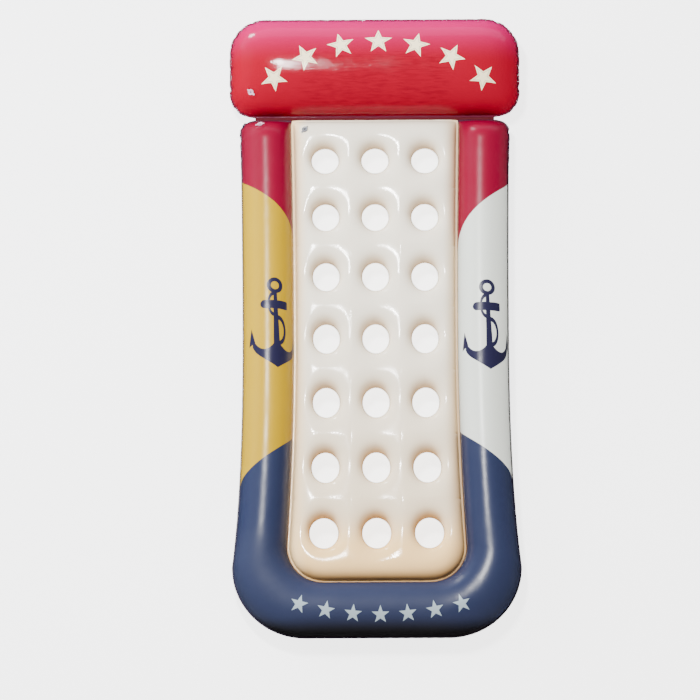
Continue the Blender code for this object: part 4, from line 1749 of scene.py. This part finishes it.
@dataclass
class Valve:
    """A push-in inflation valve: flange, sleeve, neck, stopper, strap and check flap."""

    chamber: Chamber
    finish: ClearVinyl
    skin: float = 0.0003
    port: Pair = (0.0070, 0.0135)
    flange_radius: float = 0.0120
    flange_bore: float = 0.0066
    flange_thickness: float = 0.0008
    neck_radius: float = 0.0050
    neck_bore: float = 0.0036
    neck_length: float = 0.0150
    collar_radius: float = 0.0060
    collar_thickness: float = 0.0008
    clearance: float = 0.0003
    bevel: float = 0.0002
    shank_length: float = 0.0070
    cap_radius: float = 0.0075
    cap_thickness: float = 0.0016
    cap_bevel: float = 0.0004
    tab_length: float = 0.0045
    tab_width: float = 0.0050
    tab_thickness: float = 0.0010
    strap_width: float = 0.0030
    strap_thickness: float = 0.0005
    strap_reach: float = 0.0030
    neck_taper: float = 0.55
    web_depth: float = 0.8
    web_bends: Pair = (0.35, 0.8)
    strap_ends: Pair = (1.4, 0.5)
    sharp: float = math.radians(50)
    steps: int = 48
    tab_steps: int = 13
    strap_steps: int = 11

    def __post_init__(self) -> None:
        """Reads the valve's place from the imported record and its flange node."""
        word = self.chamber.word
        out = Vector(JOINTS[f"{word}_valve_push"]["axis"]).normalized()
        side = Vector(JOINTS[f"{word}_flap_swing"]["axis"])
        side = (side - out * side.dot(out)).normalized()
        low, high = (Vector(corner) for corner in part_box(f"{word}_valve_flange"))
        depth = self.skin * 2 + self.flange_thickness / 2
        self.seat = Matrix((side.cross(out), side, out)).transposed().to_4x4()
        self.seat.translation = (low + high) / 2 + out * depth
        self.material = self.finish.material()
        self.base = self.collar_thickness + self.clearance
        self.cap_middle = self.base + self.cap_thickness / 2

    def add(self, part: str, bm: bmesh.types.BMesh, body: str | None) -> bpy.types.Object:
        """Places one part of the valve.

        Args:
            part: its name after the chamber's.
            bm: its mesh in the valve's own frame.
            body: what it rides on, or None for a part that rides on nothing.

        Returns:
            The part.
        """
        name = f"{self.chamber.word}_valve_{part}"
        layer = bm.verts.layers.float.new(FROM_AXIS)
        for vert in bm.verts:
            vert[layer] = vert.co.xy.length
        bmesh.ops.recalc_face_normals(bm, faces=bm.faces[:])
        bmesh.ops.transform(bm, matrix=self.seat, verts=bm.verts[:])
        obj = add_object(f"{name}_clear", bm, self.material)
        obj.data.set_sharp_from_angle(angle=self.sharp)
        if body:
            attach(obj, body)
        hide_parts(name)
        return obj

    def turned(self, profile: Iterable[Pair], closed: bool = True) -> bmesh.types.BMesh:
        """A profile of radius and height turned about the valve's axis.

        Args:
            profile: its points.
            closed: whether the last point joins the first.

        Returns:
            The mesh.
        """
        bm = bmesh.new()
        angles = np.arange(self.steps) * math.tau / self.steps
        rings = [[bm.verts.new((radius * math.cos(angle), radius * math.sin(angle), height))
                  for angle in (angles if radius > MERGE else angles[:1])]
                 for radius, height in profile]
        join_rings(bm, rings + rings[:1] if closed else rings)
        return bm

    def plug(self) -> bmesh.types.BMesh:
        """The stopper: a ribbed shank and a dished cap with a finger tab.

        Returns:
            Its mesh.
        """
        shank, cap, bevel = self.neck_bore - self.clearance, self.cap_radius, self.cap_bevel
        base, top = self.base, self.base + self.cap_thickness
        low = base - self.shank_length
        bm = self.turned([
            (0.0, low), (shank - 8 * TENTH, low), (shank - 2 * TENTH, low + bevel),
            (shank - 5 * TENTH, low + 20 * TENTH), (shank, low + 30 * TENTH),
            (shank - 3 * TENTH, low + 40 * TENTH), (shank - 2 * TENTH, base),
            (cap - bevel, base), (cap, base + bevel), (cap, top - bevel), (cap - bevel, top),
            (cap - 12 * TENTH, top - TENTH), (cap - 18 * TENTH, top - 5 * TENTH),
            (0.0, top - 6 * TENTH)], closed=False)
        half, thick = self.tab_width / 2, self.tab_thickness
        start, end = cap - 2 * TENTH, cap + self.tab_length - half
        turns = np.linspace(-math.pi / 2, math.pi / 2, self.tab_steps)
        outline = [(start, -half)]
        outline += [(end + half * math.cos(turn), half * math.sin(turn)) for turn in turns]
        outline.append((start, half))
        rings = [[bm.verts.new((x - inset, y * (1 - inset / half), base + height))
                  for x, y in outline]
                 for height, inset in ((TENTH, 2 * TENTH), (3 * TENTH, 0.0), (thick, 0.0),
                                       (thick + 2 * TENTH, 3 * TENTH))]
        join_rings(bm, rings, turn=True)
        bm.faces.new(rings[0][::-1])
        bm.faces.new(rings[-1])
        return bm

    def strap(self) -> bmesh.types.BMesh:
        """The strap from the collar round to the cap.

        Returns:
            Its mesh.
        """
        low, high = self.strap_thickness, self.cap_middle
        middle, bow = (high + low) / 2, (high - low) / 2
        bend = bow - (self.cap_radius + self.clearance + self.strap_reach)
        turns = np.linspace(math.pi / 2, -math.pi / 2, self.strap_steps)
        path = [(3 * TENTH - self.collar_radius, low)]
        path += [(bend - math.cos(turn) * bow, middle - math.sin(turn) * bow) for turn in turns]
        path.append((3 * TENTH - self.cap_radius, high))
        points = [Vector((x, 0.0, z)) for x, z in path]
        bm = bmesh.new()
        rings = []
        for index, point in enumerate(points):
            ahead = points[min(index + 1, len(points) - 1)] - points[max(index - 1, 0)]
            across = Vector((-ahead.z, 0.0, ahead.x)).normalized() * self.strap_thickness / 2
            edge = Vector((0.0, self.strap_width / 2, 0.0))
            rings.append([bm.verts.new(point + edge * side + across * out)
                          for side, out in ((-1, -1), (1, -1), (1, 1), (-1, 1))])
        join_rings(bm, rings, turn=True)
        bm.faces.new(rings[0][::-1])
        bm.faces.new(rings[-1])
        return bm

    def at(self, height: float) -> Triple:
        """A place on the valve's axis, in the row frame."""
        return tuple(self.seat @ Vector((0.0, 0.0, height)))

    def build(self) -> None:
        """Builds every part of the valve."""
        word, body, bevel = self.chamber.word, self.chamber.body, self.bevel
        neck, bore, collar = self.neck_radius, self.neck_bore, self.collar_radius
        top = -self.skin * 2
        low = top - self.flange_thickness
        self.add("flange", self.turned([
            (self.flange_radius - bevel, top), (self.flange_radius, top - bevel),
            (self.flange_radius, low), (self.flange_bore, low), (self.flange_bore, top)]), body)
        self.add("neck", self.turned([
            (collar - bevel, self.collar_thickness), (collar, self.collar_thickness - bevel),
            (collar, bevel), (collar - bevel, 0.0), (neck + bevel, 0.0), (neck, -bevel),
            (neck, -self.neck_length * self.neck_taper), (neck - TENTH, -self.neck_length),
            (bore, -self.neck_length), (bore, self.collar_thickness - bevel),
            (bore + bevel, self.collar_thickness)]), f"{word}_neck")
        sleeve_out = self.flange_bore - self.clearance
        sleeve_in = neck + self.clearance + self.skin
        depth = -self.neck_length * self.web_depth
        upper, lower = ((depth - top) * share + top for share in self.web_bends)
        path = [(sleeve_out, top), (sleeve_out - TENTH, upper),
                (sleeve_in + 2 * TENTH, lower), (sleeve_in, depth)]
        back = [(radius - self.skin, height) for radius, height in path[::-1]]
        web = self.add("web", self.turned(path + back), None)
        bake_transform(web)
        self.add("plug", self.plug(), f"{word}_plug")
        tether = self.add("tether", self.strap(), None)
        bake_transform(tether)
        flap = -self.neck_length - self.clearance
        self.add("flap", self.turned([
            (0.0, flap), (neck - bevel, flap), (neck, flap - TENTH), (neck, flap - 3 * TENTH),
            (neck - bevel, flap - 4 * TENTH), (0.0, flap - 5 * TENTH)], closed=False),
            f"{word}_flap")


@dataclass
class HingeSeam:
    """The welded strip between the headrest and the rest, bent to the headrest's tilt."""

    plan: Plan
    pillow: HeadrestPillow
    finish: FilmFinish = FilmFinish("hinge_seam_film", (0.060, 0.0, 0.003), roughness=0.85,
                                    side_shade=0.0)
    across_steps: int = 120
    along_steps: int = 12
    overlap: float = 0.0020
    thickness: float = 0.8
    over_weld: float = 0.01
    ripple: float = 0.0003
    ripple_turns: Pair = (310.0, 41.0)

    def build(self) -> None:
        """Builds the strip with a fine wave along it, its edges tucked between the flanges."""
        plan, tilt = self.plan, self.pillow.tilt
        half = plan.hinge_strip / 2
        tuck = half + self.overlap
        reach = self.pillow.half_width - self.pillow.near_corner
        quick, slow = self.ripple_turns
        bm = bmesh.new()
        layer = bm.verts.layers.float_vector.new(FILM_PLACE)
        rows = []
        for y in np.linspace(-tuck, tuck, self.along_steps + 1):
            bend = max(0.0, float(y))
            fade = max(0.0, 1 - (float(y) / half) ** 2)
            row = []
            for x in np.linspace(-reach, reach, self.across_steps + 1):
                wave = self.ripple * fade * math.sin(x * quick + 2 * math.sin(x * slow))
                point = Vector((x, y - bend + bend * math.cos(tilt), bend * math.sin(tilt) + wave))
                row.append(bm.verts.new(plan.hinge + point))
                row[-1][layer] = (x, y, self.over_weld)
            rows.append(row)
        join_rings(bm, rows, closed=False, turn=True)
        seam = add_object("headrest_hinge_seam", bm, self.finish.material())
        thicken(seam, plan.layer_gap * self.thickness, 0.0)
        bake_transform(seam)
        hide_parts("headrest_seam")


# Studio


@dataclass(frozen=True)
class SoftLight:
    """A rectangular studio light that looks at the lounger."""

    name: str
    place: Triple
    target: Triple
    size: Pair
    power: float
    color: Color = WHITE
    mirrored: bool = True

    def build(self) -> None:
        """Adds the light, unseen by the camera and, if asked, in the films' shine."""
        data = bpy.data.lights.new(self.name, "AREA")
        data.shape = "RECTANGLE"
        data.size, data.size_y = self.size
        data.energy = self.power
        data.color = self.color
        light = bpy.data.objects.new(self.name, data)
        bpy.context.scene.collection.objects.link(light)
        light.location = self.place
        aim = Vector(self.target) - Vector(self.place)
        light.rotation_mode = "QUATERNION"
        light.rotation_quaternion = aim.to_track_quat("-Z", "Y")
        light.visible_camera = False
        light.visible_glossy = self.mirrored


@dataclass
class Studio:
    """Pale floor, soft lights and the camera at the photo's viewing angle."""

    distance: float = 20.0
    tilt: float = math.radians(16.893)
    roll: float = math.radians(-0.28)
    aim: Triple = (-0.0019, -0.0085, 0.057)
    focal: float = 8077.0
    image: float = 700.0
    sensor: float = 36.0
    clip: Pair = (0.1, 200.0)
    offset: Pair = (25.0, 18.8)
    floor_size: float = 60.0
    floor_parts: int = 8
    floor_drop: float = 0.001
    floor_color: Color = (0.45, 0.45, 0.45)
    floor_roughness: float = 0.9
    floor_glow: float = 3.4
    sky: tuple[tuple[float, Color], ...] = ((0.0, (0.10, 0.10, 0.11)), (0.8, (0.92, 0.94, 1.0)))
    sky_strength: float = 0.5
    lights: tuple[SoftLight, ...] = (
        SoftLight("key", (-0.68, 0.90, 4.00), (0.0, -0.2, 0.0), (0.28, 0.80), 330.0),
        SoftLight("left_soft", (-3.2, 1.1, 1.9), (0.0, 0.0, 0.0), (3.0, 2.6), 250.0,
                  (0.90, 0.94, 1.0), False),
        SoftLight("rear_kick", (-1.9, 3.8, 1.15), (0.0, 0.5, 0.1), (0.5, 0.4), 70.0),
        SoftLight("far_sky", (-0.4, 3.4, 1.1), (0.0, 0.3, 0.1), (9.0, 1.5), 95.0,
                  (0.78, 0.82, 1.0)),
        SoftLight("warm_fill", (0.9, -3.0, 1.6), (0.0, -0.3, 0.0), (3.2, 1.8), 34.0,
                  (1.0, 0.66, 0.38), False),
    )

    def add_floor(self) -> None:
        """A pale floor under the lounger, which its films don't mirror."""
        bm = bmesh.new()
        bmesh.ops.create_grid(bm, x_segments=self.floor_parts, y_segments=self.floor_parts,
                              size=self.floor_size / 2)
        material = bpy.data.materials.new("pale_floor")
        Nodes(material).dress({"Base Color": self.floor_color, "Roughness": self.floor_roughness,
                               "Emission Color": WHITE, "Emission Strength": self.floor_glow})
        floor = add_object("floor", bm, material)
        floor.location.z = -self.floor_drop
        floor.visible_glossy = False

    def add_camera(self) -> None:
        """The camera, far away with a long lens."""
        data = bpy.data.cameras.new("camera")
        data.sensor_width = self.sensor
        data.lens = self.focal / self.image * self.sensor
        data.clip_start, data.clip_end = self.clip
        camera = bpy.data.objects.new("camera", data)
        bpy.context.scene.collection.objects.link(camera)
        aim = Vector(self.aim)
        forward = Vector((0.0, math.sin(self.tilt), -math.cos(self.tilt)))
        up = Vector((0.0, math.cos(self.tilt), math.sin(self.tilt)))
        right = Vector((1.0, 0.0, 0.0))
        place = aim - forward * self.distance
        rolled_right = right * math.cos(self.roll) + up * math.sin(self.roll)
        rolled_up = up * math.cos(self.roll) - right * math.sin(self.roll)
        pixel = self.distance / self.focal
        target = aim - rolled_right * self.offset[0] * pixel - rolled_up * self.offset[1] * pixel
        look = (target - place).normalized()
        side = look.cross(rolled_up).normalized()
        matrix = Matrix((side, side.cross(look), -look)).transposed().to_4x4()
        matrix.translation = place
        camera.matrix_world = matrix
        bpy.context.scene.camera = camera

    def add_world(self) -> None:
        """Soft even light from all round, brighter overhead."""
        world = bpy.data.worlds.new("studio")
        nodes = Nodes(world, "Background")
        place = nodes.add("ShaderNodeTexCoord", {}, {}).outputs["Generated"]
        sky = nodes.add("ShaderNodeValToRGB", {"stops": self.sky}, {0: nodes.split(place)[2]})
        nodes.dress({"Color": sky.outputs[0], "Strength": self.sky_strength})
        bpy.context.scene.world = world

    def build(self) -> None:
        """Builds the studio."""
        self.add_floor()
        self.add_world()
        for light in self.lights:
            light.build()
        self.add_camera()


def main() -> None:
    """Builds the studio, the films, the valves and the hinge seam."""
    logging.basicConfig(level=logging.INFO, format="%(name)s: %(message)s")
    Studio().build()
    plan = Plan()
    pillow = HeadrestPillow(plan)
    pale = ClearVinyl("pale_vinyl")
    grey = ClearVinyl("grey_vinyl", color=(0.15, 0.155, 0.165), pale=(0.29, 0.30, 0.31),
                      core=(0.03, 0.03, 0.035), alpha=0.88)
    valves = [Valve(Chamber.HEADREST, pale), Valve(Chamber.FRAME, pale),
              Valve(Chamber.MATTRESS, grey)]
    for chamber, valve in zip((pillow, SideTube(plan), Mattress(plan)), valves):
        chamber.build(valve)
    for valve in valves:
        valve.build()
    HingeSeam(plan, pillow).build()


if __name__ == "__main__":
    main()
